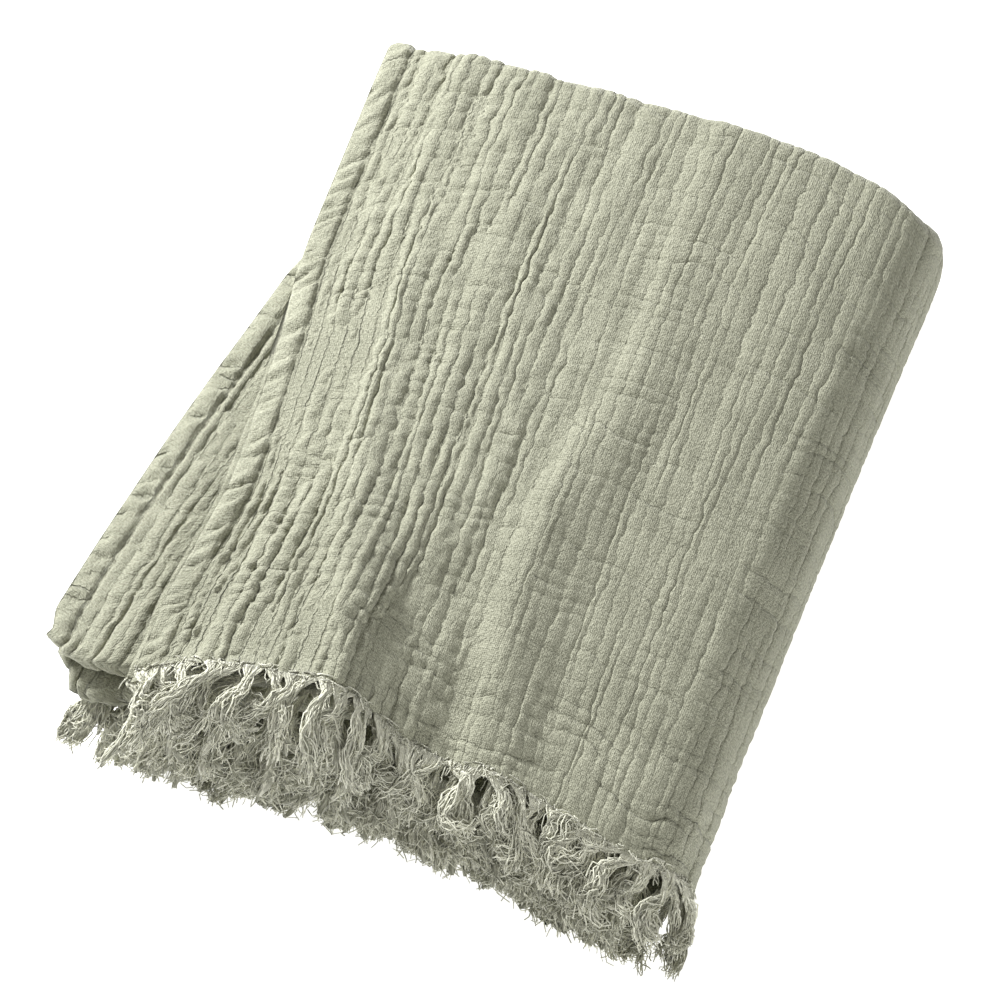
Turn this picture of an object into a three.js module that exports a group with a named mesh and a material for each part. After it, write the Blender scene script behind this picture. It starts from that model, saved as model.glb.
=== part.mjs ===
// A fringed cotton gauze throw, folded into sixteen plies and lying on a flat surface.
//
// Frame, in millimetres: X runs across the folded pile, across the ribs. Y runs along the ribs, from the
// fringed end at -Y to the folded end at +Y. Z is up, and the bottom ply lies on z = 0.
//
// The sheet is one lattice over its own width (u) and length (v). It is first folded on straight
// lines, in a level pile, and then the whole pile is bent to its uneven shape by settle().

import * as THREE from 'three';

// The sheet
const SHEET_THICKNESS = 2;
const HEM_WIDTH = 15;

// The level pile: four bundles of four plies, and the middles of its folds
const BUNDLE_HEIGHT = 20;
const BUNDLE_MIDDLES = { lowest: 10, lower: 30, upper: 50, highest: 70 };
const PILE_MIDDLE = 40;
const HEM_X = -147;
const LEFT_FOLD_X = -128;
const RIGHT_FOLD_X = 137;
const TOP_FOLD_Y = 242;
const INNER_TOP_FOLD_Y = 243;

// How far each ply lies from the middle of its bundle, towards the sheet's outer side
const PLY_OFFSETS = { fringedOuter: 7.9, fringedInner: 3.6, closedInner: -0.4, closedOuter: -7.9 };
const LOWEST_PLY = BUNDLE_MIDDLES.lowest - PLY_OFFSETS.fringedOuter;
const TOP_PLY = BUNDLE_MIDDLES.highest + PLY_OFFSETS.fringedOuter;

// Where the plies end at the fringed end, over the width: fringed edges and closed folds, by height
const END_COLUMNS = { hem: -147, fan: -118, ridge: -39, valley: 23, middle: 66, slope: 112, fold: 150 };
const FRINGED_EDGES = [
  { height: 2, hem: -160, fan: -161, ridge: -158, valley: -160, middle: -167, slope: -176, fold: -185 },
  { height: 42, hem: -168, fan: -167, ridge: -164, valley: -167, middle: -172, slope: -179, fold: -187 },
  { height: 74, hem: -180, fan: -168, ridge: -161, valley: -168, middle: -170, slope: -179, fold: -187 },
  { height: 78, hem: -177, fan: -165, ridge: -159, valley: -170, middle: -172, slope: -181, fold: -189 },
];
const CLOSED_FOLDS = [
  { height: 14, hem: -158, fan: -158, ridge: -156, valley: -154, middle: -158, slope: -164, fold: -170 },
  { height: 54, hem: -172, fan: -173, ridge: -160, valley: -150, middle: -152, slope: -158, fold: -168 },
  { height: 66, hem: -159, fan: -164, ridge: -156, valley: -144, middle: -146, slope: -154, fold: -166 },
];

// How high the top ply lies over the pile, and how the fringe beyond the edge sinks
const CROWN_COLUMNS = {
  out: -200, hem: -150, rise: -100, ridge: -48, fall: -15, valley: 20, middle: 70, slope: 120, fold: 165,
};
const CROWN = [
  { y: -230, out: 38, hem: 40, rise: 43, ridge: 42, fall: 40, valley: 39, middle: 39, slope: 39, fold: 38 },
  { y: -205, out: 50, hem: 54, rise: 60, ridge: 59, fall: 54, valley: 51, middle: 50, slope: 49, fold: 47 },
  { y: -180, out: 68, hem: 76, rise: 86, ridge: 86, fall: 74, valley: 66, middle: 64, slope: 62, fold: 61 },
  { y: -150, out: 70, hem: 78, rise: 88, ridge: 91, fall: 82, valley: 73, middle: 70, slope: 67, fold: 65 },
  { y: -100, out: 70, hem: 78, rise: 88, ridge: 93, fall: 87, valley: 80, middle: 77, slope: 72, fold: 67 },
  { y: -40, out: 68, hem: 76, rise: 86, ridge: 91, fall: 89, valley: 84, middle: 80, slope: 75, fold: 69 },
  { y: 60, out: 64, hem: 72, rise: 83, ridge: 87, fall: 87, valley: 85, middle: 82, slope: 77, fold: 71 },
  { y: 160, out: 60, hem: 69, rise: 80, ridge: 86, fall: 86, valley: 85, middle: 83, slope: 79, fold: 73 },
  { y: 250, out: 56, hem: 66, rise: 77, ridge: 83, fall: 84, valley: 84, middle: 83, slope: 79, fold: 74 },
];

// Plies under the top one are turned a little about their folded end, so that they fan out at the left
const FAN = {
  startY: 112, easedY: 80, fullY: -165, fullX: -95, noneX: 70,
  shifts: [
    { height: 2, shift: -1 }, { height: 20, shift: -8 }, { height: 42, shift: -18 },
    { height: 54, shift: -35 }, { height: 62, shift: -41 }, { height: 70, shift: -42 },
    { height: 73.6, shift: -4 }, { height: 78, shift: 0 },
  ],
};
// Locks spread apart a little past the edges, about the pile's middle
const SPREAD = { middleX: -10, halfWidth: 170, startY: -178, share: 0.22 };
// The folded ends of the lower bundles stand out a little past the top one
const PEEK = {
  startY: 60, fullY: 236,
  shifts: [
    { height: 10, shift: 4 }, { height: 30, shift: -3 }, { height: 50, shift: 9 }, { height: 70, shift: 0 },
  ],
};
const LEAN = { middleY: 15, leftEdge: 0.016, rightEdge: 0.0625 };
const ROUNDED_CORNER = { startX: 40, outerX: 176, setback: 28, startY: 40, fullY: 236 };

// Ribs on the outer face, where the face shows, and the hem's raised band with its stitched groove
const RIB_PITCH = 7.1;
const RIB_RISE = 0.55;
const RIB_SWELL = { depth: 0.35, alongLength: 97, acrossWidth: 41 };
const HEM_PROFILE = [
  { share: 0.15, rise: 0.7 }, { share: 0.8, rise: 0.7 }, { share: 0.93, rise: -0.3 },
];

// Fringe
const EDGE_GAP = 0.4;
const BACKING_WIDTH = 4;
const LOCK = {
  pitch: 11.2, rootWidth: 6.4, bellyWidth: 8.2, tipWidth: 2.6, bellyAt: 0.58,
  bellyThickness: 1.4, tipThickness: 0.7, length: 37, lengthSpread: 4.5, sway: 0.9,
  clearance: 1,
};

const SAGE = 0xb9bba8;
const SAGE_FRINGE = 0xc3c5b3;

const clamp = (value, low, high) => Math.min(Math.max(value, low), high);

function smoothStep(from, to, value) {
  const t = clamp((value - from) / (to - from), 0, 1);
  return t * t * (3 - 2 * t);
}

// A smooth curve through (stations, values), level beyond its ends
function curveThrough(stations, values, at) {
  const last = stations.length - 1;
  const t = clamp(at, stations[0], stations[last]);
  let i = 0;
  while (i < last - 1 && t > stations[i + 1]) i += 1;
  const slope = (k) => {
    if (k === 0 || k === last) return 0;
    return (values[k + 1] - values[k - 1]) / (stations[k + 1] - stations[k - 1]);
  };
  const span = stations[i + 1] - stations[i];
  const s = (t - stations[i]) / span;
  const ease = s * s * (3 - 2 * s);
  const leaving = s * (1 - s) * (1 - s) * span * slope(i);
  const arriving = s * s * (s - 1) * span * slope(i + 1);
  return values[i] + (values[i + 1] - values[i]) * ease + leaving + arriving;
}

// A table's rows lie along one direction and its named columns across it
function tableAt(rows, rowKey, columns, along, across) {
  const names = Object.keys(columns);
  const stations = Object.values(columns);
  const values = rows.map((row) => curveThrough(stations, names.map((name) => row[name]), across));
  return curveThrough(rows.map((row) => row[rowKey]), values, along);
}

const evenShares = (cells) => Array.from({ length: cells }, (_, i) => i / cells);

const shiftAt = (shifts, height) =>
  curveThrough(shifts.map((row) => row.height), shifts.map((row) => row.shift), height);

const fringedEdgeY = (x, height) => tableAt(FRINGED_EDGES, 'height', END_COLUMNS, height, x);
const closedFoldY = (x, height) => tableAt(CLOSED_FOLDS, 'height', END_COLUMNS, height, x);

// The width's way through the level pile, as the line of a bundle's middle in the X-Z plane. Each
// stretch gives the shares where its lattice columns lie, and the point and outward normal at a share.
function straight(fromX, toX, height, facing, stations) {
  return {
    shares: stations.map((x) => (x - fromX) / (toX - fromX)),
    at: (share) => ({ x: fromX + (toX - fromX) * share, z: height, nx: 0, nz: facing }),
  };
}

function turn(x, z, radius, fromAngle, toAngle, facing, cells) {
  return {
    shares: evenShares(cells),
    at: (share) => {
      const angle = fromAngle + (toAngle - fromAngle) * share;
      const out = { x: Math.cos(angle), z: Math.sin(angle) };
      return { x: x + radius * out.x, z: z + radius * out.z, nx: facing * out.x, nz: facing * out.z };
    },
  };
}

const QUARTER = Math.PI / 2;
const TURN_CELLS = { outer: 6, left: 4, tight: 4, top: 4, closed: 3, innerTop: 2 };
const OUTER_TURN = BUNDLE_MIDDLES.highest - PILE_MIDDLE;
const INNER_TURN = BUNDLE_MIDDLES.upper - PILE_MIDDLE;
const LEFT_TURN = (BUNDLE_MIDDLES.lower - BUNDLE_MIDDLES.lowest) / 2;
const ACROSS_HEM = [HEM_X, HEM_X + HEM_WIDTH];
const ACROSS_PILE = [-112, -88, -62, -40, -18, 8, 40, 75, 108];
const ACROSS_LOWER = [LEFT_FOLD_X, -88, -62, -40, -18, 8, 40, 75];
const ACROSS_LOWEST = [RIGHT_FOLD_X, 75, 8, -62];

const ACROSS = [
  straight(HEM_X, RIGHT_FOLD_X, BUNDLE_MIDDLES.highest, 1, [...ACROSS_HEM, ...ACROSS_PILE]),
  turn(RIGHT_FOLD_X, PILE_MIDDLE, OUTER_TURN, QUARTER, -QUARTER, 1, TURN_CELLS.outer),
  straight(RIGHT_FOLD_X, LEFT_FOLD_X, BUNDLE_MIDDLES.lowest, -1, ACROSS_LOWEST),
  turn(LEFT_FOLD_X, BUNDLE_HEIGHT, LEFT_TURN, -QUARTER, -3 * QUARTER, 1, TURN_CELLS.left),
  straight(LEFT_FOLD_X, RIGHT_FOLD_X, BUNDLE_MIDDLES.lower, 1, ACROSS_LOWER),
  turn(RIGHT_FOLD_X, PILE_MIDDLE, INNER_TURN, -QUARTER, QUARTER, -1, TURN_CELLS.tight),
  straight(RIGHT_FOLD_X, HEM_X, BUNDLE_MIDDLES.upper, -1, [RIGHT_FOLD_X, ...[...ACROSS_PILE].reverse()]),
];
const HIGHEST_BUNDLE = ACROSS[0];
const OUTER_FOLD = ACROSS[1];
const TIGHT_FOLD = ACROSS[5];
const UPPER_BUNDLE = ACROSS[6];

// The length's way through one bundle: each stretch gives y and the offset from the bundle's middle
function ply(offset, toFold, nearEnd, farEnd, shares) {
  return {
    shares,
    at: (share, place) => {
      const s = toFold ? share : 1 - share;
      const near = nearEnd(place(offset));
      return { y: near + (farEnd - near) * s, offset };
    },
  };
}

function lengthTurn(fromOffset, toOffset, foldY, facing, cells) {
  const middle = (fromOffset + toOffset) / 2;
  const radius = (fromOffset - toOffset) / 2;
  return {
    shares: evenShares(cells),
    at: (share, place) => {
      const angle = Math.PI * share;
      const offset = middle + radius * Math.cos(angle);
      const y = foldY(place(offset)) + facing * Math.abs(radius) * Math.sin(angle);
      return { y, offset };
    },
  };
}

const edgeAt = (place) => fringedEdgeY(place.x, place.z);
const closedAt = (place) => closedFoldY(place.x, place.z);
const NEAR_TO_FAR = [0, 0.06, 0.15, 0.28, 0.45, 0.63, 0.82];
const FAR_TO_NEAR = [0, 0.2, 0.42, 0.64, 0.85];
const NEAR_TO_FAR_CLOSED = [0, 0.15, 0.36, 0.58, 0.8];
const FAR_TO_NEAR_FRINGED = [0, 0.2, 0.42, 0.64, 0.83, 0.94, 1];

const ALONG = [
  ply(PLY_OFFSETS.fringedOuter, true, edgeAt, TOP_FOLD_Y, NEAR_TO_FAR),
  lengthTurn(PLY_OFFSETS.fringedOuter, PLY_OFFSETS.closedOuter, () => TOP_FOLD_Y, 1, TURN_CELLS.top),
  ply(PLY_OFFSETS.closedOuter, false, closedAt, TOP_FOLD_Y, FAR_TO_NEAR),
  lengthTurn(PLY_OFFSETS.closedOuter, PLY_OFFSETS.closedInner, closedAt, -1, TURN_CELLS.closed),
  ply(PLY_OFFSETS.closedInner, true, closedAt, INNER_TOP_FOLD_Y, NEAR_TO_FAR_CLOSED),
  lengthTurn(PLY_OFFSETS.closedInner, PLY_OFFSETS.fringedInner, () => INNER_TOP_FOLD_Y, 1, TURN_CELLS.innerTop),
  ply(PLY_OFFSETS.fringedInner, false, edgeAt, INNER_TOP_FOLD_Y, FAR_TO_NEAR_FRINGED),
];
const FIRST_PLY = ALONG[0];
const TOP_FOLD = ALONG[1];
const CLOSED_FOLD = ALONG[3];
const CLOSED_PLY = ALONG[4];
const LAST_PLY = ALONG[6];
// The cells of the fanned folds that show at the hems, and the half of a turn that faces up
const SHOWN_AT_HEM = { cells: 2, plyShare: 0.3 };
const UPPER_HALF = 0.5;

// Bends the level pile to its uneven shape. Nothing crosses: plies slide sideways only by smooth
// amounts, and heights keep their order over every spot of the surface.
function settle({ x, y, z }, thickness) {
  const leanShare = (x - HEM_X) / (RIGHT_FOLD_X + OUTER_TURN - HEM_X);
  const lean = (y - LEAN.middleY) * (LEAN.leftEdge + (LEAN.rightEdge - LEAN.leftEdge) * leanShare);
  const fanAcross = 1 - smoothStep(FAN.fullX, FAN.noneX, x);
  const fanAlong = ((FAN.startY - y) / (FAN.startY - FAN.fullY)) * (1 - smoothStep(FAN.easedY, FAN.startY, y));
  const fan = shiftAt(FAN.shifts, z) * fanAcross * fanAlong;
  const spread = (SPREAD.share * Math.max(0, SPREAD.startY - y) * (x - SPREAD.middleX)) / SPREAD.halfWidth;
  const farEnd = smoothStep(PEEK.startY, PEEK.fullY, y);
  const peek = shiftAt(PEEK.shifts, z) * farEnd;
  const cornerWidth = ROUNDED_CORNER.outerX - ROUNDED_CORNER.startX;
  const cornerShare = Math.max(0, (x - ROUNDED_CORNER.startX) / cornerWidth);
  const cornerReach = smoothStep(ROUNDED_CORNER.startY, ROUNDED_CORNER.fullY, y);
  const corner = ROUNDED_CORNER.setback * cornerShare * cornerShare * cornerReach;
  const placedX = x + lean + fan + spread;
  const placedY = y + peek - corner;
  const crown = tableAt(CROWN, 'y', CROWN_COLUMNS, placedY, placedX);
  const squeeze = (crown - SHEET_THICKNESS / 2) / (TOP_PLY - LOWEST_PLY);
  return new THREE.Vector3(placedX, placedY, thickness / 2 + (z - LOWEST_PLY) * squeeze);
}

// A point of the sheet's middle surface. beyond is a distance past the fringed edge.
function middlePoint(across, acrossShare, along, alongShare, beyond, thickness) {
  const way = across.at(acrossShare);
  const place = (offset) => ({ x: way.x + offset * way.nx, z: way.z + offset * way.nz });
  const { y, offset } = along.at(alongShare, place);
  const { x, z } = place(offset);
  return settle({ x, y: y - beyond, z }, thickness);
}

const NUDGE = 0.002;
const FLOOR_SNAP = 0.01;

// The unit normal on the sheet's outer side, from two short steps across and along it
function outwardNormal(across, acrossShare, along, alongShare, beyond, thickness) {
  const step = (du, dv) =>
    middlePoint(across, acrossShare + du, along, alongShare + dv, beyond, thickness);
  const acrossStep = step(NUDGE, 0).sub(step(-NUDGE, 0));
  const alongStep = step(0, NUDGE).sub(step(0, -NUDGE));
  return acrossStep.cross(alongStep).normalize();
}

function facePoint(across, acrossShare, along, alongShare, side, beyond = 0, thickness = SHEET_THICKNESS) {
  const middle = middlePoint(across, acrossShare, along, alongShare, beyond, thickness);
  const normal = outwardNormal(across, acrossShare, along, alongShare, beyond, thickness);
  const point = middle.addScaledVector(normal, (side * thickness) / 2);
  if (Math.abs(point.z) < FLOOR_SNAP) point.z = 0;
  return point;
}

// Lattice lines: every stretch's stations, and the far end of the last stretch
function latticeLines(stretches) {
  const lines = stretches.flatMap((stretch) =>
    stretch.shares.filter((share) => share < 1).map((share) => ({ stretch, share })));
  lines.push({ stretch: stretches[stretches.length - 1], share: 1 });
  return lines;
}

const COLUMNS = latticeLines(ACROSS);
const ROWS = latticeLines(ALONG);

const evenSteps = (points) => points.map((_, k) => k / (points.length - 1));

// Collects triangles and gives the closed mesh
class Skin {
  constructor() {
    this.corners = [];
  }

  triangle(a, b, c) {
    for (const p of [a, b, c]) this.corners.push(p.x, p.y, p.z);
  }

  // Joins two rows of points with triangles. Both rows run the same way, seen from outside the
  // second row lies to the left of the first one.
  zip(first, second, firstAt = evenSteps(first), secondAt = evenSteps(second)) {
    let i = 0;
    let j = 0;
    while (i < first.length - 1 || j < second.length - 1) {
      if (j === second.length - 1 || (i < first.length - 1 && firstAt[i + 1] <= secondAt[j + 1])) {
        this.triangle(first[i], first[i + 1], second[j]);
        i += 1;
      } else {
        this.triangle(first[i], second[j + 1], second[j]);
        j += 1;
      }
    }
  }

  mesh(name, colour) {
    const geometry = new THREE.BufferGeometry();
    geometry.setAttribute('position', new THREE.Float32BufferAttribute(this.corners, 3));
    geometry.computeVertexNormals();
    const material = new THREE.MeshStandardMaterial({ color: colour, roughness: 0.95, metalness: 0 });
    const mesh = new THREE.Mesh(geometry, material);
    mesh.name = name;
    return mesh;
  }
}

// The height of a rib's crest or valley over the sheet's outer face
function ribRise(widthAt, lengthShare, crest) {
  const phase = widthAt / RIB_SWELL.acrossWidth + (lengthShare * TOP_FOLD_Y) / RIB_SWELL.alongLength;
  const height = RIB_RISE * (1 + RIB_SWELL.depth * Math.sin(phase));
  return crest ? RIB_RISE + height : RIB_RISE - height;
}

function throwCloth() {
  const skin = new Skin();
  const across = COLUMNS.length - 1;
  const along = ROWS.length - 1;
  const grid = [1, -1].map((side) =>
    ROWS.map((row) =>
      COLUMNS.map((column) => facePoint(column.stretch, column.share, row.stretch, row.share, side))));
  const [outer, inner] = grid;

  const widthAt = COLUMNS.map(() => 0);
  for (let i = 1; i <= across; i += 1) widthAt[i] = widthAt[i - 1] + outer[0][i].distanceTo(outer[0][i - 1]);

  // What is raised on a cell's outer face: the hem's band, ribs or nothing
  const relief = (i, j) => {
    const column = COLUMNS[i];
    const row = ROWS[j];
    const onHighest = column.stretch === HIGHEST_BUNDLE;
    const onUpper = column.stretch === UPPER_BUNDLE;
    const nearHem = (onHighest ? i : across - 1 - i) < SHOWN_AT_HEM.cells;
    const shownFold = row.stretch === CLOSED_FOLD && (onHighest || onUpper) && nearHem;
    const shownPly = row.stretch === CLOSED_PLY && onHighest && nearHem && row.share < SHOWN_AT_HEM.plyShare;
    const shownTop = row.stretch === FIRST_PLY || (row.stretch === TOP_FOLD && row.share < UPPER_HALF);
    if (!shownTop && !shownFold && !shownPly) return 'none';
    if (i === 0) return 'hem';
    if (onHighest || onUpper) return 'ribs';
    return column.stretch === OUTER_FOLD && column.share < UPPER_HALF ? 'ribs' : 'none';
  };

  // The points along one lattice row between two columns, raised where a cell on either side is
  const rowPoints = (i, j) => {
    const start = outer[j][i];
    const end = outer[j][i + 1];
    const kinds = [j < along ? relief(i, j) : 'none', j > 0 ? relief(i, j - 1) : 'none'];
    const row = ROWS[j];
    const pressedFlat = j === 0 || (row.stretch === CLOSED_FOLD && row.share === 0 && i < SHOWN_AT_HEM.cells);
    const rises = [];
    if (kinds.includes('hem')) rises.push(...HEM_PROFILE);
    if (kinds.includes('ribs')) {
      const width = widthAt[i + 1] - widthAt[i];
      const steps = Math.max(1, Math.round(width / RIB_PITCH)) * 2;
      for (let k = 1; k < steps; k += 1) {
        const share = k / steps;
        rises.push({ share, rise: ribRise(widthAt[i] + share * width, row.share, k % 2 === 1) });
      }
    }
    if (rises.length === 0) return [start, end];
    const [startNormal, endNormal] = [COLUMNS[i], COLUMNS[i + 1]].map((column) =>
      outwardNormal(column.stretch, column.share, row.stretch, row.share, 0, SHEET_THICKNESS));
    const between = rises.map(({ share, rise }) => {
      const out = startNormal.clone().lerp(endNormal, share).normalize();
      return start.clone().lerp(end, share).addScaledVector(out, pressedFlat ? 0 : rise);
    });
    return [start, ...between, end];
  };

  for (let j = 0; j < along; j += 1) {
    for (let i = 0; i < across; i += 1) {
      skin.zip(rowPoints(i, j), rowPoints(i, j + 1));
      skin.zip([inner[j + 1][i], inner[j + 1][i + 1]], [inner[j][i], inner[j][i + 1]]);
    }
    skin.zip([inner[j][0], outer[j][0]], [inner[j + 1][0], outer[j + 1][0]]);
    skin.zip([outer[j][across], inner[j][across]], [outer[j + 1][across], inner[j + 1][across]]);
  }
  for (let i = 0; i < across; i += 1) {
    skin.zip([inner[0][i], inner[0][i + 1]], rowPoints(i, 0));
    skin.zip(rowPoints(i, along), [inner[along][i], inner[along][i + 1]]);
  }
  return skin.mesh('throw_cloth', SAGE);
}

// Repeatable small differences between locks, from -1 to 1
function seededSpread(seed) {
  let state = seed;
  return () => {
    state = (state * 1664525 + 1013904223) % 4294967296;
    return state / 2147483648 - 1;
  };
}

// The fringe beyond one end of the sheet. Its points lie on straight lines between the lattice's
// columns, as the cloth's own edge does, so the gap between them is even.
function fringe(name, alongStretch, alongShare, outerSide, seed) {
  const skin = new Skin();
  const spread = seededSpread(seed);
  const lengths = [0];
  for (let i = 1; i < COLUMNS.length; i += 1) {
    const previous = COLUMNS[i - 1];
    const here = COLUMNS[i];
    const step = facePoint(here.stretch, here.share, alongStretch, alongShare, 1)
      .distanceTo(facePoint(previous.stretch, previous.share, alongStretch, alongShare, 1));
    lengths.push(lengths[i - 1] + step);
  }
  const total = lengths[lengths.length - 1];

  const point = (at, beyond, side, thickness) => {
    let i = 0;
    while (i < COLUMNS.length - 2 && at > lengths[i + 1]) i += 1;
    const share = (at - lengths[i]) / (lengths[i + 1] - lengths[i]);
    const [from, to] = [COLUMNS[i], COLUMNS[i + 1]].map((column) =>
      facePoint(column.stretch, column.share, alongStretch, alongShare, side, beyond, thickness));
    return from.lerp(to, share);
  };
  // The four corners of a lock's section: left and right on the outer face, right and left on the inner
  const section = (left, right, beyond, thickness) => [
    point(left, beyond, outerSide, thickness), point(right, beyond, outerSide, thickness),
    point(right, beyond, -outerSide, thickness), point(left, beyond, -outerSide, thickness),
  ];

  const inside = EDGE_GAP;
  const outside = EDGE_GAP + BACKING_WIDTH;
  const tightStart = lengths[COLUMNS.findIndex((column) => column.stretch === TIGHT_FOLD)];
  const tightEnd = lengths[COLUMNS.findIndex((column) => column.stretch === UPPER_BUNDLE)];
  const pitch = total / Math.floor(total / LOCK.pitch);
  const roots = [];
  for (let middle = pitch / 2; middle < total; middle += pitch) {
    const root = { left: middle - LOCK.rootWidth / 2, right: middle + LOCK.rootWidth / 2 };
    const inTightFold = middle > tightStart - LOCK.bellyWidth && middle < tightEnd + LOCK.bellyWidth;
    if (!inTightFold) roots.push(root);
  }

  // The backing: a strip whose inner edge follows the cloth's, and whose outer edge carries the locks
  const innerStations = [...new Set([...lengths, ...roots.map(({ left }) => left)])].sort((a, b) => a - b);
  const nearLock = (at) =>
    roots.some(({ left, right }) => at > left - LOCK.clearance && at < right + LOCK.clearance);
  const freeColumns = lengths.filter((at) => !nearLock(at));
  const rootEdges = roots.flatMap(({ left, right }) => [left, right]);
  const outerStations = [...freeColumns, ...rootEdges].sort((a, b) => a - b);
  const edge = (stations, beyond, side) => stations.map((at) => point(at, beyond, side, SHEET_THICKNESS));
  const [innerOver, innerUnder] = [outerSide, -outerSide].map((side) => edge(innerStations, inside, side));
  const [outerOver, outerUnder] = [outerSide, -outerSide].map((side) => edge(outerStations, outside, side));
  skin.zip(outerOver, innerOver, outerStations, innerStations);
  skin.zip(innerUnder, outerUnder, innerStations, outerStations);
  skin.zip(innerOver, innerUnder);
  outerStations.slice(0, -1).forEach((at, k) => {
    if (roots.some(({ left }) => left === at)) return;
    skin.zip([outerUnder[k], outerUnder[k + 1]], [outerOver[k], outerOver[k + 1]]);
  });
  skin.zip([innerOver[0], innerUnder[0]], [outerOver[0], outerUnder[0]]);
  skin.zip([innerUnder.at(-1), innerOver.at(-1)], [outerUnder.at(-1), outerOver.at(-1)]);

  const closeRing = (ring, next) => {
    for (let k = 0; k < ring.length; k += 1) {
      const turned = (k + 1) % ring.length;
      skin.zip([ring[turned], ring[k]], [next[turned], next[k]]);
    }
  };
  for (const { left, right } of roots) {
    const root = section(left, right, outside, SHEET_THICKNESS);
    const middle = (left + right) / 2 + LOCK.sway * spread();
    const length = LOCK.length + LOCK.lengthSpread * spread();
    const belly = section(
      middle - LOCK.bellyWidth / 2, middle + LOCK.bellyWidth / 2,
      outside + length * LOCK.bellyAt, LOCK.bellyThickness,
    );
    const tipMiddle = middle + LOCK.sway * spread();
    const tip = section(
      tipMiddle - LOCK.tipWidth / 2, tipMiddle + LOCK.tipWidth / 2, outside + length, LOCK.tipThickness,
    );
    closeRing(root, belly);
    closeRing(belly, tip);
    skin.zip([tip[0], tip[3]], [tip[1], tip[2]]);
  }
  return skin.mesh(name, SAGE_FRINGE);
}

const gauzeThrow = new THREE.Group();
gauzeThrow.add(throwCloth());
gauzeThrow.add(fringe('fringe_first_end', FIRST_PLY, 0, 1, 17));
gauzeThrow.add(fringe('fringe_other_end', LAST_PLY, 1, -1, 29));

// The part's origin is under the middle of the whole folded throw
const middle = new THREE.Box3().setFromObject(gauzeThrow).getCenter(new THREE.Vector3());
gauzeThrow.position.set(-middle.x, -middle.y, 0);

export default gauzeThrow;
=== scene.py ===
"""A folded cotton gauze throw with a frayed fringe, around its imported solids.

The pile is worked out in millimetres, first level and then bent to its uneven shape, just as the
solids are, and goes into the scene in metres. The gauze is one closed sheet whose ribs, puckers and
hems are in its mesh. The fringe is loose yarns gathered into curly locks."""

import math

import bpy
import numpy as np
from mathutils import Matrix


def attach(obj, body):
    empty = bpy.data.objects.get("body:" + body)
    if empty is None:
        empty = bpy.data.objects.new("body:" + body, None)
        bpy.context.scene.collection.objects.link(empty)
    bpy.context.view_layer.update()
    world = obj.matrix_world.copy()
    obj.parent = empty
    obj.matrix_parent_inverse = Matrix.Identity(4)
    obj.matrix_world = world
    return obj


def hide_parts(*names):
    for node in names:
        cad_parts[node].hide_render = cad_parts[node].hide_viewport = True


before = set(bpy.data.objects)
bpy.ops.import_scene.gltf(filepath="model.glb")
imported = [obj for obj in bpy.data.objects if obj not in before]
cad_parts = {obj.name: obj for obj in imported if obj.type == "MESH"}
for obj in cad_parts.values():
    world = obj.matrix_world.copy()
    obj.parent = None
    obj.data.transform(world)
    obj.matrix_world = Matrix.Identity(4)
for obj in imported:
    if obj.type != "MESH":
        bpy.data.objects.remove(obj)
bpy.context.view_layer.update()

MM = 0.001


# Camera

CAMERA = {"azimuth": 18, "elevation": 60, "distance": 1.9, "lens": 126.7, "sensor": 36}
CAMERA_TARGET = (0.0024, -0.01405, 0.040)


def make_camera():
    data = bpy.data.cameras.new("camera")
    data.lens = CAMERA["lens"]
    data.sensor_width = CAMERA["sensor"]
    camera = bpy.data.objects.new("camera", data)
    azimuth = math.radians(CAMERA["azimuth"])
    elevation = math.radians(CAMERA["elevation"])
    back = (
        math.sin(azimuth) * math.cos(elevation),
        -math.cos(azimuth) * math.cos(elevation),
        math.sin(elevation),
    )
    camera.location = [t + CAMERA["distance"] * b for t, b in zip(CAMERA_TARGET, back)]
    camera.rotation_euler = (math.pi / 2 - elevation, 0, azimuth)
    bpy.context.scene.collection.objects.link(camera)
    bpy.context.scene.camera = camera


make_camera()


# The level pile, in millimetres: four bundles of four plies

SHEET_THICKNESS = 2.0
HEM_WIDTH = 15
BUNDLE = {"lowest": 10, "lower": 30, "upper": 50, "highest": 70}
PILE_MIDDLE = 40
HEM_X = -147
LEFT_FOLD_X = -128
RIGHT_FOLD_X = 137
TOP_FOLD_Y = 242
INNER_TOP_FOLD_Y = 243
OUTER_TURN = BUNDLE["highest"] - PILE_MIDDLE
INNER_TURN = BUNDLE["upper"] - PILE_MIDDLE
LEFT_TURN = (BUNDLE["lower"] - BUNDLE["lowest"]) / 2
PILE_SHIFT = (2.3926, -14.0458)

PLY = {"fringed_outer": 7.9, "fringed_inner": 3.6, "closed_inner": -0.4, "closed_outer": -7.9}
LOWEST_PLY = BUNDLE["lowest"] - PLY["fringed_outer"]
TOP_PLY = BUNDLE["highest"] + PLY["fringed_outer"]

# Where the plies end at the fringed end, over the width, by height
END_COLUMNS = (-147, -118, -39, 23, 66, 112, 150)
FRINGED_EDGES = {
    2: (-160, -161, -158, -160, -167, -176, -185),
    42: (-168, -167, -164, -167, -172, -179, -187),
    74: (-180, -168, -161, -168, -170, -179, -187),
    78: (-177, -165, -159, -170, -172, -181, -189),
}
CLOSED_FOLDS = {
    14: (-158, -158, -156, -154, -158, -164, -170),
    54: (-162, -181, -162, -150, -152, -158, -168),
    66: (-158, -168, -158, -144, -146, -154, -166),
}

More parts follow.
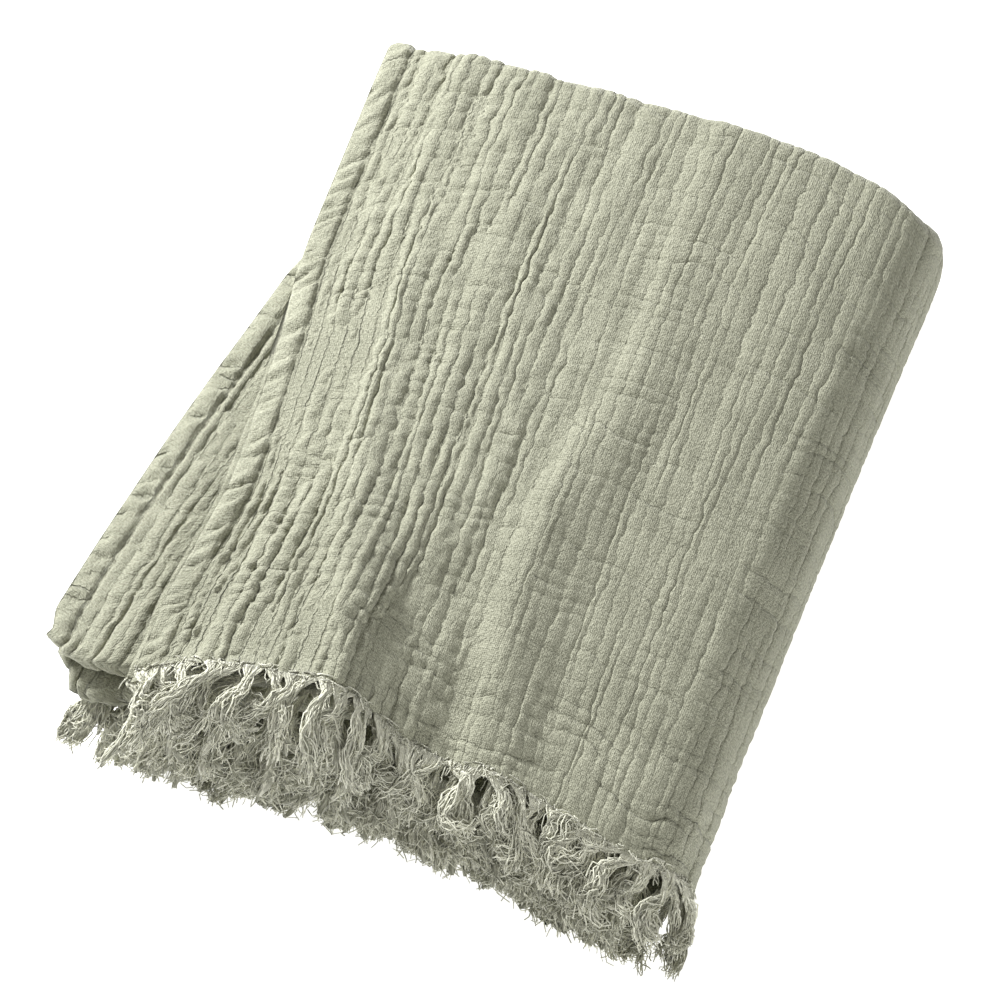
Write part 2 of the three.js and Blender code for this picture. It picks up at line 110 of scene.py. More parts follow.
# How high the top ply lies over the pile, by y, and how the fringe beyond the edge sinks
CROWN_COLUMNS = (-200, -150, -100, -48, -15, 20, 70, 120, 165)
CROWN = {
    -230: (38, 40, 43, 42, 40, 39, 39, 39, 38),
    -205: (50, 54, 60, 59, 54, 51, 50, 49, 47),
    -180: (68, 76, 86, 86, 74, 66, 64, 62, 61),
    -150: (70, 78, 88, 91, 82, 73, 70, 67, 65),
    -100: (70, 78, 88, 93, 87, 80, 77, 72, 67),
    -40: (68, 76, 86, 91, 89, 84, 80, 75, 69),
    60: (64, 72, 83, 87, 87, 85, 82, 77, 71),
    160: (60, 71, 82, 87, 86, 85, 83, 79, 73),
    250: (60, 75, 84, 86, 85, 84, 83, 79, 74),
}

# Plies under the top one fan out at the left, and fold ends stand out at the far end, by height
FAN = {"start_y": 118, "eased_y": 86, "full_y": -165, "full_x": -95, "none_x": 70, "bow": 0.08}
FAN_SHIFTS = {2: -1, 20: -8, 42: -16, 54: -43, 62: -45, 70: -48.5, 73.6: -4, 78: 0}
HEM_BOW = {
    -200: 9, -163: 10, -127: 10, -98: 13, -61: 16, -42: 15, -19: 13, 12: 10, 48: 6, 90: 0, 150: -2, 250: -3,
}
BOWED = {70: 0, 73.6: 0.85, 78: 1}
BOW_REACH = {"full_x": -110, "none_x": 30}
FAN_TIP = {"setback": 5, "start_y": -144, "full_y": -161, "full_x": -147, "none_x": -118}
SPREAD = {"middle_x": -10, "half_width": 170, "start_y": -178, "share": 0.14}
PEEK = {"start_y": 60, "full_y": 236}
PEEK_SHIFTS = {10: 4, 30: -3, 50: 9, 70: 0}
LEAN = {"middle_y": 15, "left_edge": 0.016, "right_edge": 0.0625}
CORNER = {"start_x": 40, "outer_x": 176, "setback": 30, "start_y": 40, "full_y": 236}

# The main creases of the upper plies, over the settled pile and by y: where each crest runs, how high it
# stands and how wide its two flanks are
CREASE_COLUMNS = ("x", "height", "left", "right")
CREASES = {
    "long_ridge": {
        -170: (-33, 7.0, 24, 38),
        -110: (-48, 7.9, 22, 37),
        -60: (-60, 6.9, 20, 30),
        -15: (-68, 5.0, 18, 24),
        80: (-83, 3.0, 16, 22),
        180: (-96, 1.4, 16, 20),
    },
    "right_ridge": {
        -170: (50, 5.0, 25, 30),
        -90: (34, 7.3, 25, 38),
        -10: (36, 6.4, 22, 34),
        70: (54, 3.4, 20, 34),
        190: (54, 1.4, 18, 34),
    },
}
CREASED = {"none_z": 40, "full_z": 74}

# The fanned plies dip towards the hem of the top ply: the deepest line and how deep it is, by y
FAN_DIP_COLUMNS = ("x", "depth")
FAN_DIP = {-165: (-139, 4.0), -120: (-132, 5.5), -60: (-128, 5.5), 0: (-133, 4.0), 60: (-140, 0.0)}
FAN_DIP_REACH = {"left": 26, "right": 40, "none_z": 40, "full_z": 66, "past_z": 71, "top_z": 76}


def smooth_step(start, end, value):
    t = np.clip((value - start) / (end - start), 0, 1)
    return t * t * (3 - 2 * t)


def curve_through(stations, values, at):
    """A smooth curve through (stations, values), level beyond its ends. A value may be an array."""
    stations = np.asarray(stations, float)
    last = len(stations) - 1
    t = np.clip(at, stations[0], stations[last])
    i = np.searchsorted(stations[1:last], t, side="left")
    shape = (last + 1,) + np.shape(t)
    table = np.array([np.broadcast_to(v, np.shape(t)) for v in values]).reshape(shape)
    slopes = np.zeros(shape)
    for k in range(1, last):
        slopes[k] = (table[k + 1] - table[k - 1]) / (stations[k + 1] - stations[k - 1])

    def pick(rows, k):
        return np.take_along_axis(rows, np.asarray(k)[None], axis=0)[0]

    span = stations[i + 1] - stations[i]
    s = (t - stations[i]) / span
    ease = s * s * (3 - 2 * s)
    leaving = s * (1 - s) * (1 - s) * span * pick(slopes, i)
    arriving = s * s * (s - 1) * span * pick(slopes, i + 1)
    low, high = pick(table, i), pick(table, i + 1)
    return low + (high - low) * ease + leaving + arriving


def table_at(table, columns, along, across):
    rows = [curve_through(columns, row, across) for row in table.values()]
    return curve_through(list(table), rows, along)


def shift_at(shifts, height):
    return curve_through(list(shifts), list(shifts.values()), height)


def columns_at(table, columns, along):
    """Each named column of a table of tuples, at places along it."""
    values = zip(*table.values())
    return {name: curve_through(list(table), column, along) for name, column in zip(columns, values)}


def fringed_edge(x, z):
    return table_at(FRINGED_EDGES, END_COLUMNS, z, x)


def closed_fold(x, z):
    return table_at(CLOSED_FOLDS, END_COLUMNS, z, x)


def crease_height(x, y):
    """How far the main creases lift the cloth at settled places."""
    total = 0 * x
    for crease in CREASES.values():
        crest = columns_at(crease, CREASE_COLUMNS, y)
        off = x - crest["x"]
        flank = smooth_step(-crest["left"], 0, off) * (1 - smooth_step(0, crest["right"], off))
        total = total + crest["height"] * flank
    return total


def fan_dip(x, y, z):
    """How far the plies under the top one dip at settled places."""
    dip = columns_at(FAN_DIP, FAN_DIP_COLUMNS, y)
    off = x - dip["x"]
    reach = FAN_DIP_REACH
    share = smooth_step(-reach["left"], 0, off) * (1 - smooth_step(0, reach["right"], off))
    share = share * smooth_step(reach["none_z"], reach["full_z"], z)
    return dip["depth"] * share * (1 - smooth_step(reach["past_z"], reach["top_z"], z))


def settle(x, y, z):
    """Bends the level pile to its uneven shape."""
    lean_share = (x - HEM_X) / (RIGHT_FOLD_X + OUTER_TURN - HEM_X)
    slope = LEAN["left_edge"] + (LEAN["right_edge"] - LEAN["left_edge"]) * lean_share
    lean = (y - LEAN["middle_y"]) * slope

    def by_hem(reach):
        return 1 - smooth_step(reach["full_x"], reach["none_x"], x)

    fan_along = (FAN["start_y"] - y) / (FAN["start_y"] - FAN["full_y"])
    fan_along = fan_along + FAN["bow"] * np.sin(math.pi * np.clip(fan_along, 0, 1))
    fan_along = fan_along * (1 - smooth_step(FAN["eased_y"], FAN["start_y"], y))
    fan = shift_at(FAN_SHIFTS, z) * by_hem(FAN) * fan_along
    bow = shift_at(HEM_BOW, y) * shift_at(BOWED, z) * by_hem(BOW_REACH)
    tip_along = 1 - smooth_step(FAN_TIP["full_y"], FAN_TIP["start_y"], y)
    tip = FAN_TIP["setback"] * by_hem(FAN_TIP) * tip_along * (1 - shift_at(BOWED, z))
    past_edge = np.maximum(0, SPREAD["start_y"] - y)
    spread = SPREAD["share"] * past_edge * (x - SPREAD["middle_x"]) / SPREAD["half_width"]
    peek = shift_at(PEEK_SHIFTS, z) * smooth_step(PEEK["start_y"], PEEK["full_y"], y)
    corner_share = np.maximum(0, (x - CORNER["start_x"]) / (CORNER["outer_x"] - CORNER["start_x"]))
    corner = CORNER["setback"] * corner_share**3 * smooth_step(CORNER["start_y"], CORNER["full_y"], y)
    placed_x = x + lean + fan + bow + tip + spread
    placed_y = y + peek - corner
    crown = table_at(CROWN, CROWN_COLUMNS, placed_y, placed_x)
    squeeze = (crown - SHEET_THICKNESS / 2) / (TOP_PLY - LOWEST_PLY)
    height = SHEET_THICKNESS / 2 + (z - LOWEST_PLY) * squeeze
    creased = smooth_step(CREASED["none_z"], CREASED["full_z"], z)
    height = height + creased * crease_height(placed_x, placed_y) - fan_dip(placed_x, placed_y, z)
    return np.stack([placed_x, placed_y, height], axis=-1)


# Smooth seeded noise


class Noise:
    """Gradient noise over a plane, from about -1 to 1, the same in each run."""

    CELLS = 256

    def __init__(self, seed):
        angles = np.random.default_rng(seed).uniform(0, 2 * math.pi, (self.CELLS, self.CELLS))
        self.gx, self.gy = np.cos(angles), np.sin(angles)

    def __call__(self, x, y):
        x, y = np.broadcast_arrays(np.asarray(x, float), np.asarray(y, float))
        ix, iy = np.floor(x).astype(int), np.floor(y).astype(int)
        fx, fy = x - ix, y - iy
        ux = fx * fx * fx * (fx * (fx * 6 - 15) + 10)
        uy = fy * fy * fy * (fy * (fy * 6 - 15) + 10)

        def corner(dx, dy):
            a, b = (ix + dx) % self.CELLS, (iy + dy) % self.CELLS
            return self.gx[a, b] * (fx - dx) + self.gy[a, b] * (fy - dy)

        near = corner(0, 0) * (1 - ux) + corner(1, 0) * ux
        far = corner(0, 1) * (1 - ux) + corner(1, 1) * ux
        return 1.5 * (near * (1 - uy) + far * uy)


# The sheet's way across its width through the level pile


def straight(bundle, start_x, end_x, facing):
    def at(share):
        x = start_x + (end_x - start_x) * share
        return x, BUNDLE[bundle], 0, facing

    return at


def turn(x, z, radius, start_angle, end_angle, facing):
    def at(share):
        angle = start_angle + (end_angle - start_angle) * share
        out_x, out_z = np.cos(angle), np.sin(angle)
        return x + radius * out_x, z + radius * out_z, facing * out_x, facing * out_z

    return at


def cells_between(*parts):
    """Shares of the cell lines, from (end share, cells) pairs."""
    lines = [0.0]
    for end, count in parts:
        lines.extend(np.linspace(lines[-1], end, count + 1)[1:])
    return lines


def even_cells(count):
    return cells_between((1, count))


def even_steps(count):
    return [k / count for k in range(count)]


def rib_steps(places, ribs):
    """Where the fine lines lie in a cell that spans some ribs, gathered towards the valleys."""
    return [(rib + place) / ribs for rib in range(ribs) for place in places]


CLOSE_STEPS = (0, 0.12, 0.37, 0.63, 0.88)
WIDE_STEPS = (0, 0.14, 0.5, 0.86)
RIBS_IN_CELL = 2
RIBS_IN_WIDE_CELL = 3

QUARTER = math.pi / 2
HEM_END = HEM_X + HEM_WIDTH
LEFT_FOLD_Z = BUNDLE["lowest"] + LEFT_TURN
CLOSE_RIBS = rib_steps(CLOSE_STEPS, RIBS_IN_CELL)
WIDE_RIBS = rib_steps(WIDE_STEPS, RIBS_IN_CELL)
HIDDEN_RIBS = rib_steps(WIDE_STEPS, RIBS_IN_WIDE_CELL)

# Each stretch: its middle line with its outward normal, its lattice cells and the fine steps of a cell
ACROSS = [
    ("hem", straight("highest", HEM_X, HEM_END, 1), even_cells(2), even_steps(6)),
    ("highest", straight("highest", HEM_END, RIGHT_FOLD_X, 1), even_cells(19), CLOSE_RIBS),
    ("outer_fold", turn(RIGHT_FOLD_X, PILE_MIDDLE, OUTER_TURN, QUARTER, -QUARTER, 1),
     even_cells(8), WIDE_RIBS),
    ("lowest", straight("lowest", RIGHT_FOLD_X, LEFT_FOLD_X, -1), even_cells(12), HIDDEN_RIBS),
    ("left_fold", turn(LEFT_FOLD_X, LEFT_FOLD_Z, LEFT_TURN, -QUARTER, -3 * QUARTER, 1),
     even_cells(4), WIDE_RIBS),
    ("lower", straight("lower", LEFT_FOLD_X, RIGHT_FOLD_X, 1), even_cells(12), HIDDEN_RIBS),
    ("tight_fold", turn(RIGHT_FOLD_X, PILE_MIDDLE, INNER_TURN, -QUARTER, QUARTER, -1),
     even_cells(4), even_steps(2)),
    ("upper", straight("upper", RIGHT_FOLD_X, HEM_END, -1), even_cells(15), CLOSE_RIBS),
    ("other_hem", straight("upper", HEM_END, HEM_X, -1), even_cells(2), even_steps(6)),
]


# The sheet's way along its length through one bundle


def ply(name, to_fold, near_end, far_end):
    offset = PLY[name]

    def at(share, place):
        s = share if to_fold else 1 - share
        near = near_end(*place(offset))
        return near + (far_end - near) * s, offset

    return at


def length_turn(start_ply, end_ply, fold_y, facing):
    middle = (PLY[start_ply] + PLY[end_ply]) / 2
    radius = (PLY[start_ply] - PLY[end_ply]) / 2

    def at(share, place):
        angle = math.pi * share
        offset = middle + radius * math.cos(angle)
        return fold_y(*place(offset)) + facing * abs(radius) * math.sin(angle), offset

    return at


def level_fold(fold_y):
    return lambda x, z: fold_y + 0 * x


ALONG = [
    ("first_ply", ply("fringed_outer", True, fringed_edge, TOP_FOLD_Y), even_cells(27), even_steps(8)),
    ("top_fold", length_turn("fringed_outer", "closed_outer", level_fold(TOP_FOLD_Y), 1),
     even_cells(3), even_steps(4)),
    ("closed_outer", ply("closed_outer", False, closed_fold, TOP_FOLD_Y),
     cells_between((0.7, 8), (1, 8)), even_steps(4)),
    ("closed_fold", length_turn("closed_outer", "closed_inner", closed_fold, -1),
     even_cells(3), even_steps(3)),
    ("closed_inner", ply("closed_inner", True, closed_fold, INNER_TOP_FOLD_Y),
     cells_between((0.72, 18), (1, 4)), even_steps(6)),
    ("inner_top_fold", length_turn("closed_inner", "fringed_inner", level_fold(INNER_TOP_FOLD_Y), 1),
     even_cells(2), even_steps(1)),
    ("fringed_inner", ply("fringed_inner", False, fringed_edge, INNER_TOP_FOLD_Y),
     cells_between((0.5, 3), (1, 10)), even_steps(5)),
]


def fine_lines(stretches):
    """The stretch and share of every fine line, and where each lattice cell starts and what it spans."""
    lines, cell_starts, cell_names = [], [], []
    for index, (name, _, stations, steps) in enumerate(stretches):
        for low, high in zip(stations, stations[1:]):
            cell_starts.append(len(lines))
            cell_names.append((name, low, high))
            lines.extend((index, low + (high - low) * step) for step in steps)
    cell_starts.append(len(lines))
    lines.append((len(stretches) - 1, 1.0))
    return lines, np.array(cell_starts), cell_names


COLUMN_LINES, COLUMN_STARTS, COLUMN_CELLS = fine_lines(ACROSS)
ROW_LINES, ROW_STARTS, ROW_CELLS = fine_lines(ALONG)

# The bundles' middle line at every fine column, and its outward normal
WAY_X, WAY_Z, WAY_NX, WAY_NZ = np.array([ACROSS[index][1](share) for index, share in COLUMN_LINES]).T
RIBS_PER_CELL = {"hem": 0, "other_hem": 0, "lowest": RIBS_IN_WIDE_CELL, "lower": RIBS_IN_WIDE_CELL}


def rib_phases():
    """The rib number at every fine column, whole in the valleys."""
    phases, count = [], 0
    for name, _, stations, steps in ACROSS:
        ribs = RIBS_PER_CELL.get(name, RIBS_IN_CELL)
        for _ in stations[1:]:
            phases.extend(count + ribs * step for step in steps)
            count += ribs
    return np.array([*phases, count])


def place(offset):
    return WAY_X + offset * WAY_NX, WAY_Z + offset * WAY_NZ


def level_pile():
    rows = []
    for index, share in ROW_LINES:
        y, offset = ALONG[index][1](share, place)
        x, z = place(offset)
        rows.append(np.stack([x, y + 0 * x, z], axis=-1))
    return np.array(rows)


def unit(vectors):
    return vectors / np.maximum(np.linalg.norm(vectors, axis=-1, keepdims=True), 1e-9)


def lengths_along(points, axis):
    steps = np.linalg.norm(np.diff(points, axis=axis), axis=-1)
    return np.cumsum(np.insert(steps, 0, 0, axis=axis), axis=axis)


# Relief of the gauze, in millimetres over the sheet's own width s and length t

RIB = {"pitch": 7.1, "trough": 1.0, "groove": 0.45, "groove_width": 0.9, "split": 0.3, "split_width": 1.0,
       "drift": 12, "depth": 0.8, "least": 0.2, "most": 1.4, "sharp_at_fold": 0.62, "number_step": 0.83,
       "less_at_fold": 0.62}
PINCH = {"pitch": 7.4, "trough": 0.95, "groove": 0.15, "groove_width": 1.6, "depth": 0.5, "most": 1.5,
         "across": 26, "across_more_at_fold": 30, "less_at_fold": 0.2, "groove_more_at_fold": 4}
HEM = {"width": 14.0, "rise": 2.0, "sunk": 0.8, "roundness": 0.42, "groove_depth": 1.6,
       "groove_width": 0.85, "pitch": 9.5, "gather": 1.8, "gather_width": 2.6, "gather_depth": 0.6,
       "most": 1.6, "slant": 0.5}

# How much more or less the gauze is crinkled there
CRINKLE = {"hem": 0.85, "end": 0.15, "fold": 0.76, "fold_by_end": 0.1, "far_end": 0.32, "under_top": 0.42}

# Where over the sheet its relief changes: the start and end of each smooth step, over s, t or the edge
CHANGES = {
    "past_hem": (HEM["width"] - 1, HEM["width"] + 1.2),
    "from_hem": (HEM["width"], 90),
    "from_end": (10, 90),
    "toward_far_end": (150, 380),
    "under_top": (430, 470),
    "over_fold": (110, 225),
    "past_fold": (480, 560),
    "past_near_half": (300, 400),
    "drift_starts": (15, 150),
    "drift_stops": (190, 320),
}
DRIFT_LENGTH = 400

# The gauze's seeded unevenness: the noise's seed, how strong it is, and its periods across and along
UNEVEN = {
    "rib_stray": (11, 3.4, 12, 280),
    "rib_sway": (12, 1.5, 17, 90),
    "rib_jog": (13, 1.3, 12, 12),
    "rib_small_jog": (14, 0.9, 9, 5.5),
    "rib_depth": (15, 0.8, 1, 110),
    "rib_small_depth": (16, 0.6, 1, 24),
    "rib_split": (17, 1.6, 1, 45),
    "swell": (18, 1.8, 17, 150),
    "broad_swell": (36, 1.1, 40, 60),
    "lump": (34, 0.75, 5.5, 6.5),
    "broad_lump": (35, 0.7, 11, 16),
    "pinch_sway": (31, 6.0, 38, 40),
    "pinch_jog": (32, 2.0, 10, 14),
    "pinch_depth": (33, 1.7, 1, 9),
    "hem_sway": (19, 6.0, 30, 22),
    "hem_jog": (21, 2.5, 12, 9),
    "hem_depth": (22, 2.4, 26, 8),
    "hem_lump": (20, 1.3, 16, 7),
    "stitch_jog": (23, 1.1, 1, 5.5),
    "stitch_sway": (24, 1.1, 1, 19),
    "ragged_end": (41, 1.3, 4.5, 1),
}
MID_CELL = 0.5


def uneven(name, across, along):
    seed, strength, period_across, period_along = UNEVEN[name]
    return strength * Noise(seed)(across / period_across, along / period_along)


def change(name, value):
    return smooth_step(*CHANGES[name], value)


def groove_profile(distance, width):
    return np.exp(-((np.abs(distance) / width) ** 1.5))


def line_distance(phase, pitch):
    """Millimetres from the nearest whole number of a phase."""
    return np.abs(phase - np.round(phase)) * pitch


def rib_wander(s, t):
    """How far the ribs stray sideways, each in its own way, with small jogs where they pucker."""
    own = uneven("rib_stray", s, t) + uneven("rib_sway", s, t)
    jogs = uneven("rib_jog", s, t) + uneven("rib_small_jog", s, t)
    over_middle = change("drift_starts", s) * (1 - change("drift_stops", s))
    return own + jogs - RIB["drift"] * over_middle * (1 - np.clip(t / DRIFT_LENGTH, 0, 1)) ** 1.5


def in_hem(edge):
    return 1 - change("past_hem", edge)


def under_top(t):
    """1 on the plies under the top one."""
    return change("under_top", t)


def near_large_fold(s):
    return change("over_fold", s) * (1 - change("past_fold", s))


def relief_share(s, t, edge):
    """How strongly the gauze is crinkled: most by the hem and the fringe, least near the large fold."""
    toward_hem = 1 - change("from_hem", edge)
    toward_end = 1 - change("from_end", t)
    less_at_fold = CRINKLE["fold"] - CRINKLE["fold_by_end"] * toward_end
    share = 1.0 + CRINKLE["hem"] * toward_hem + CRINKLE["end"] * toward_end
    share = share - less_at_fold * near_large_fold(s)
    toward_far_end = change("toward_far_end", t) * (1 - under_top(t))
    in_near_half = 1 - change("past_near_half", s)
    weaker = CRINKLE["under_top"] * under_top(t) * in_near_half
    return share * (1 - CRINKLE["far_end"] * toward_far_end - weaker)


def rib_lines(s, t, edge, phase):
    """The rib number and the depth of the nearest valley between ribs, as (phase, depth)."""
    number = np.round(phase) * RIB["number_step"]
    depth = RIB["depth"] + uneven("rib_depth", number, t) + uneven("rib_small_depth", number, t)
    sharp = np.clip(relief_share(s, t, edge), RIB["sharp_at_fold"] * near_large_fold(s), None)
    depth = np.clip(depth, RIB["least"], RIB["most"]) * sharp * (1 - in_hem(edge))
    return phase + 0 * t, depth


def pinch_lines(s, t, edge):
    """The same for the puckers that cross the ribs, and for the gathers of the hems."""
    wander = uneven("pinch_sway", s, t) + uneven("pinch_jog", s, t)
    across_ribs = PINCH["across"] + PINCH["across_more_at_fold"] * near_large_fold(s)
    depth = np.clip(PINCH["depth"] + uneven("pinch_depth", s / across_ribs, t), 0, PINCH["most"])
    depth = depth * (0.5 + 0.5 * relief_share(s, t, edge)) * (1 + 0.5 * (1 - change("from_end", t)))
    hem_wander = uneven("hem_sway", edge, t) + uneven("hem_jog", edge, t) - HEM["slant"] * edge
    hem_depth = np.clip(HEM["gather_depth"] + uneven("hem_depth", edge, t), 0, HEM["most"])
    hem = in_hem(edge)
    phase = np.where(hem > 0.5, (t + hem_wander) / HEM["pitch"], (t + wander) / PINCH["pitch"])
    return phase, depth * (1 - hem) + hem_depth * hem


def trough_and_groove(distance, pitch, groove_width):
    """A broad trough from ridge to ridge and a narrow groove in it, each 1 on the line."""
    return (1 - 2 * distance / pitch) ** 2, groove_profile(distance, groove_width)


def hem_relief(t, edge, pinches, swell):
    """The hem's stuffed tube with its gathers, and the stitched groove beside it."""
    mid_cell = MID_CELL + 0 * edge
    stitched = HEM["width"] + uneven("stitch_jog", mid_cell, t) + uneven("stitch_sway", mid_cell, t)
    arch = np.sin(math.pi * np.clip(edge / stitched, 0, 1))
    tube = HEM["rise"] * arch ** HEM["roundness"] - HEM["sunk"]
    gather = groove_profile(line_distance(pinches[0], HEM["pitch"]), HEM["gather_width"])
    gathered = HEM["gather"] * (1 + 0.15 * under_top(t)) * pinches[1] * gather
    tube = tube - gathered * arch**0.5
    tube = tube + uneven("hem_lump", edge, t - HEM["slant"] * edge) * arch**0.3
    groove = np.exp(-(((edge - stitched) / HEM["groove_width"]) ** 2))
    groove_depth = HEM["groove_depth"] * (1 - 0.5 * under_top(t))
    return tube + 0.5 * swell, groove_depth * groove


def gauze_relief(s, t, edge, ribs, pinches):
    share = relief_share(s, t, edge)
    fold = near_large_fold(s)
    distance = line_distance(ribs[0], RIB["pitch"])
    broad, narrow = trough_and_groove(distance, RIB["pitch"], RIB["groove_width"])
    half_way = groove_profile(RIB["pitch"] / 2 - distance, RIB["split_width"])
    split = np.clip(uneven("rib_split", np.floor(ribs[0]) * 0.61, t), 0, 0.9) * share
    trough = RIB["trough"] * (1 - RIB["less_at_fold"] * fold)
    field = -ribs[1] * (trough * broad + RIB["groove"] * narrow) - RIB["split"] * split * half_way

    distance = line_distance(pinches[0], PINCH["pitch"])
    broad, narrow = trough_and_groove(distance, PINCH["pitch"], PINCH["groove_width"])
    trough = PINCH["trough"] * (1 - PINCH["less_at_fold"] * fold)
    groove = PINCH["groove"] * (1 + PINCH["groove_more_at_fold"] * fold)
    field = field - pinches[1] * (trough * broad + groove * narrow)
    lumps = uneven("lump", s, t) + uneven("broad_lump", s, t)
    swell = (uneven("swell", s, t) + uneven("broad_swell", s, t)) * (0.3 + 0.7 * share)
    field = field + share * lumps + swell

    hem = in_hem(edge)
    tube, stitched_groove = hem_relief(t, edge, pinches, swell)
    return field * (1 - hem) + tube * hem - stitched_groove


# Which lattice cells show, on each face, and so have ribs in their mesh


def shows_outside(row, low, _, column, column_low, column_high):
    """The outer face shows on the first ply's top and round folds, and where the plies fan out."""

    def by_hem(highest_until):
        return column == "hem" or (column == "highest" and column_high < highest_until)

    def by_other_hem(upper_from):
        return column == "other_hem" or (column == "upper" and column_low > upper_from)

    if row == "first_ply":
        return column in ("hem", "highest", "outer_fold", "left_fold")
    if row == "top_fold":
        return column != "tight_fold"
    if row == "closed_outer":
        return by_other_hem(0.79) and low > 0.69
    if row == "closed_fold":
        return by_hem(0.33) or by_other_hem(0.7)
    return row == "closed_inner" and by_hem(0.22) and low < 0.71


def shows_inside(row, low, _, column, *_rest):
    """The inner face shows only on the hem of the ply under the top one."""
    return row == "fringed_inner" and column == "hem" and low > 0.49


def over_cells(values):
    """A value of each lattice cell at every fine face of the cell."""
    return np.repeat(np.repeat(values, np.diff(ROW_STARTS), 0), np.diff(COLUMN_STARTS), 1)


def fade_mask(fine):
    """From 0 on the edges of the cells that show to 1 well inside them, at every fine point."""
    padded = np.pad(over_cells(fine), 1, mode="edge")
    points = padded[:-1, :-1] & padded[1:, :-1] & padded[:-1, 1:] & padded[1:, 1:]
    mask = points.astype(float)
    for _ in range(3):
        grown = np.pad(mask, 1, mode="edge")
        near = (grown[:-2, 1:-1] + grown[2:, 1:-1] + grown[1:-1, :-2] + grown[1:-1, 2:]) / 4
        mask = np.where(points, (mask + near) / 2, 0)
    return mask


def skin_faces(fine, ids, flip, hubs, points):
    """Faces over the lattice: a fine grid where a cell shows, one quad or a fan elsewhere."""
    r, c = np.nonzero(over_cells(fine))
    faces = np.stack([ids[r, c], ids[r, c + 1], ids[r + 1, c + 1], ids[r + 1, c]], axis=1).tolist()

    def side(r0, c0, r1, c1, split):
        steps = max(abs(r1 - r0), abs(c1 - c0)) if split else 1
        k = np.arange(steps)
        return ids[r0 + (r1 - r0) * k // steps, c0 + (c1 - c0) * k // steps].tolist()

    around = np.pad(fine, 1)
    for j, i in np.argwhere(~fine):
        r0, r1 = ROW_STARTS[j], ROW_STARTS[j + 1]
        c0, c1 = COLUMN_STARTS[i], COLUMN_STARTS[i + 1]
        loop = side(r0, c0, r0, c1, around[j, i + 1]) + side(r0, c1, r1, c1, around[j + 1, i + 2])
        loop += side(r1, c1, r1, c0, around[j + 2, i + 1]) + side(r1, c0, r0, c0, around[j + 1, i])
        if len(loop) == 4:
            faces.append(loop)
            continue
        middle = ids[(r0 + r1) // 2, (c0 + c1) // 2]
        opposite = ids[(r0 + r1 + 1) // 2, (c0 + c1 + 1) // 2]
        faces.extend([len(points) + len(hubs), a, b] for a, b in zip(loop, loop[1:] + loop[:1]))
        hubs.append((points[middle] + points[opposite]) / 2)
    return [face[::-1] for face in faces] if flip else faces


def rim_faces(outer_line, inner_line, flip):
    """Joins two lines of points with the same ends, whose counts may differ."""
    faces = []
    i = j = 0
    a_last, b_last = len(outer_line) - 1, len(inner_line) - 1
    while i < a_last or j < b_last:
        if j == b_last or (i < a_last and (i + 1) * b_last <= (j + 1) * a_last):
            faces.append([outer_line[i], outer_line[i + 1], inner_line[j]])
            i += 1
        else:
            faces.append([outer_line[i], inner_line[j + 1], inner_line[j]])
            j += 1
    return [f[::-1] for f in faces] if flip else faces


def edge_cells(ids, fine, starts):
    """The points that the faces use on one edge of a skin, cell by cell."""
    cells = zip(starts, starts[1:], fine)
    return [ids[low : high + 1] if shown else ids[[low, high]] for low, high, shown in cells]


def mesh_object(name, points, faces, material):
    mesh = bpy.data.meshes.new(name)
    mesh.from_pydata([tuple(p) for p in points], [], faces)
    mesh.validate()
    mesh.polygons.foreach_set("use_smooth", [True] * len(mesh.polygons))
    mesh.materials.append(material)
    piece = bpy.data.objects.new(name, mesh)
    bpy.context.scene.collection.objects.link(piece)
    return piece


def add_attribute(piece, name, kind, field, values):
    attribute = piece.data.attributes.new(name, kind, "POINT")
    attribute.data.foreach_set(field, values.astype(np.float32).ravel())


def to_scene(points):
    return (points + np.array([*PILE_SHIFT, 0])) * MM


def shifted_along(rows, places, values):
    """Values of each row's points, read at other places along the row."""
    return np.array([
        np.stack([np.interp(wanted, own, row[:, k]) for k in range(row.shape[1])], axis=1)
        for own, wanted, row in zip(rows, places, values)
    ])


FLOOR_CLEARANCE = 0.3
# Over the last millimetres of the sheet, at its fringed ends
END = {"thin": 0.35, "thin_reach": 5, "ragged_reach": 4}
# How much of a line's depth the bump and the painted groove shade show: where the face is hidden, and more
# of the puckers there
SEEN = {"hidden": 0.3, "pinches": 0.5, "more_at_fold": 0.7, "more_in_hem": 0.9}


def sheet_faces(outside, inside, points):
    """The faces of both skins and the rims that join them, and all their points."""
    outer_ids, inner_ids = np.arange(len(points)).reshape(2, ROW_STARTS[-1] + 1, -1)
    hubs = []
    faces = skin_faces(outside, outer_ids, False, hubs, points)
    faces += skin_faces(inside, inner_ids, True, hubs, points)
    edges = [
        (np.s_[:, 0], ROW_STARTS, True), (np.s_[:, -1], ROW_STARTS, False),
        (np.s_[0], COLUMN_STARTS, False), (np.s_[-1], COLUMN_STARTS, True),
    ]
    for edge, starts, flip in edges:
        outer = edge_cells(outer_ids[edge], outside[edge], starts)
        inner = edge_cells(inner_ids[edge], inside[edge], starts)
        for outer_cell, inner_cell in zip(outer, inner):
            faces += rim_faces(outer_cell, inner_cell, flip)
    return faces, np.concatenate([points, np.array(hubs).reshape(-1, 3)])


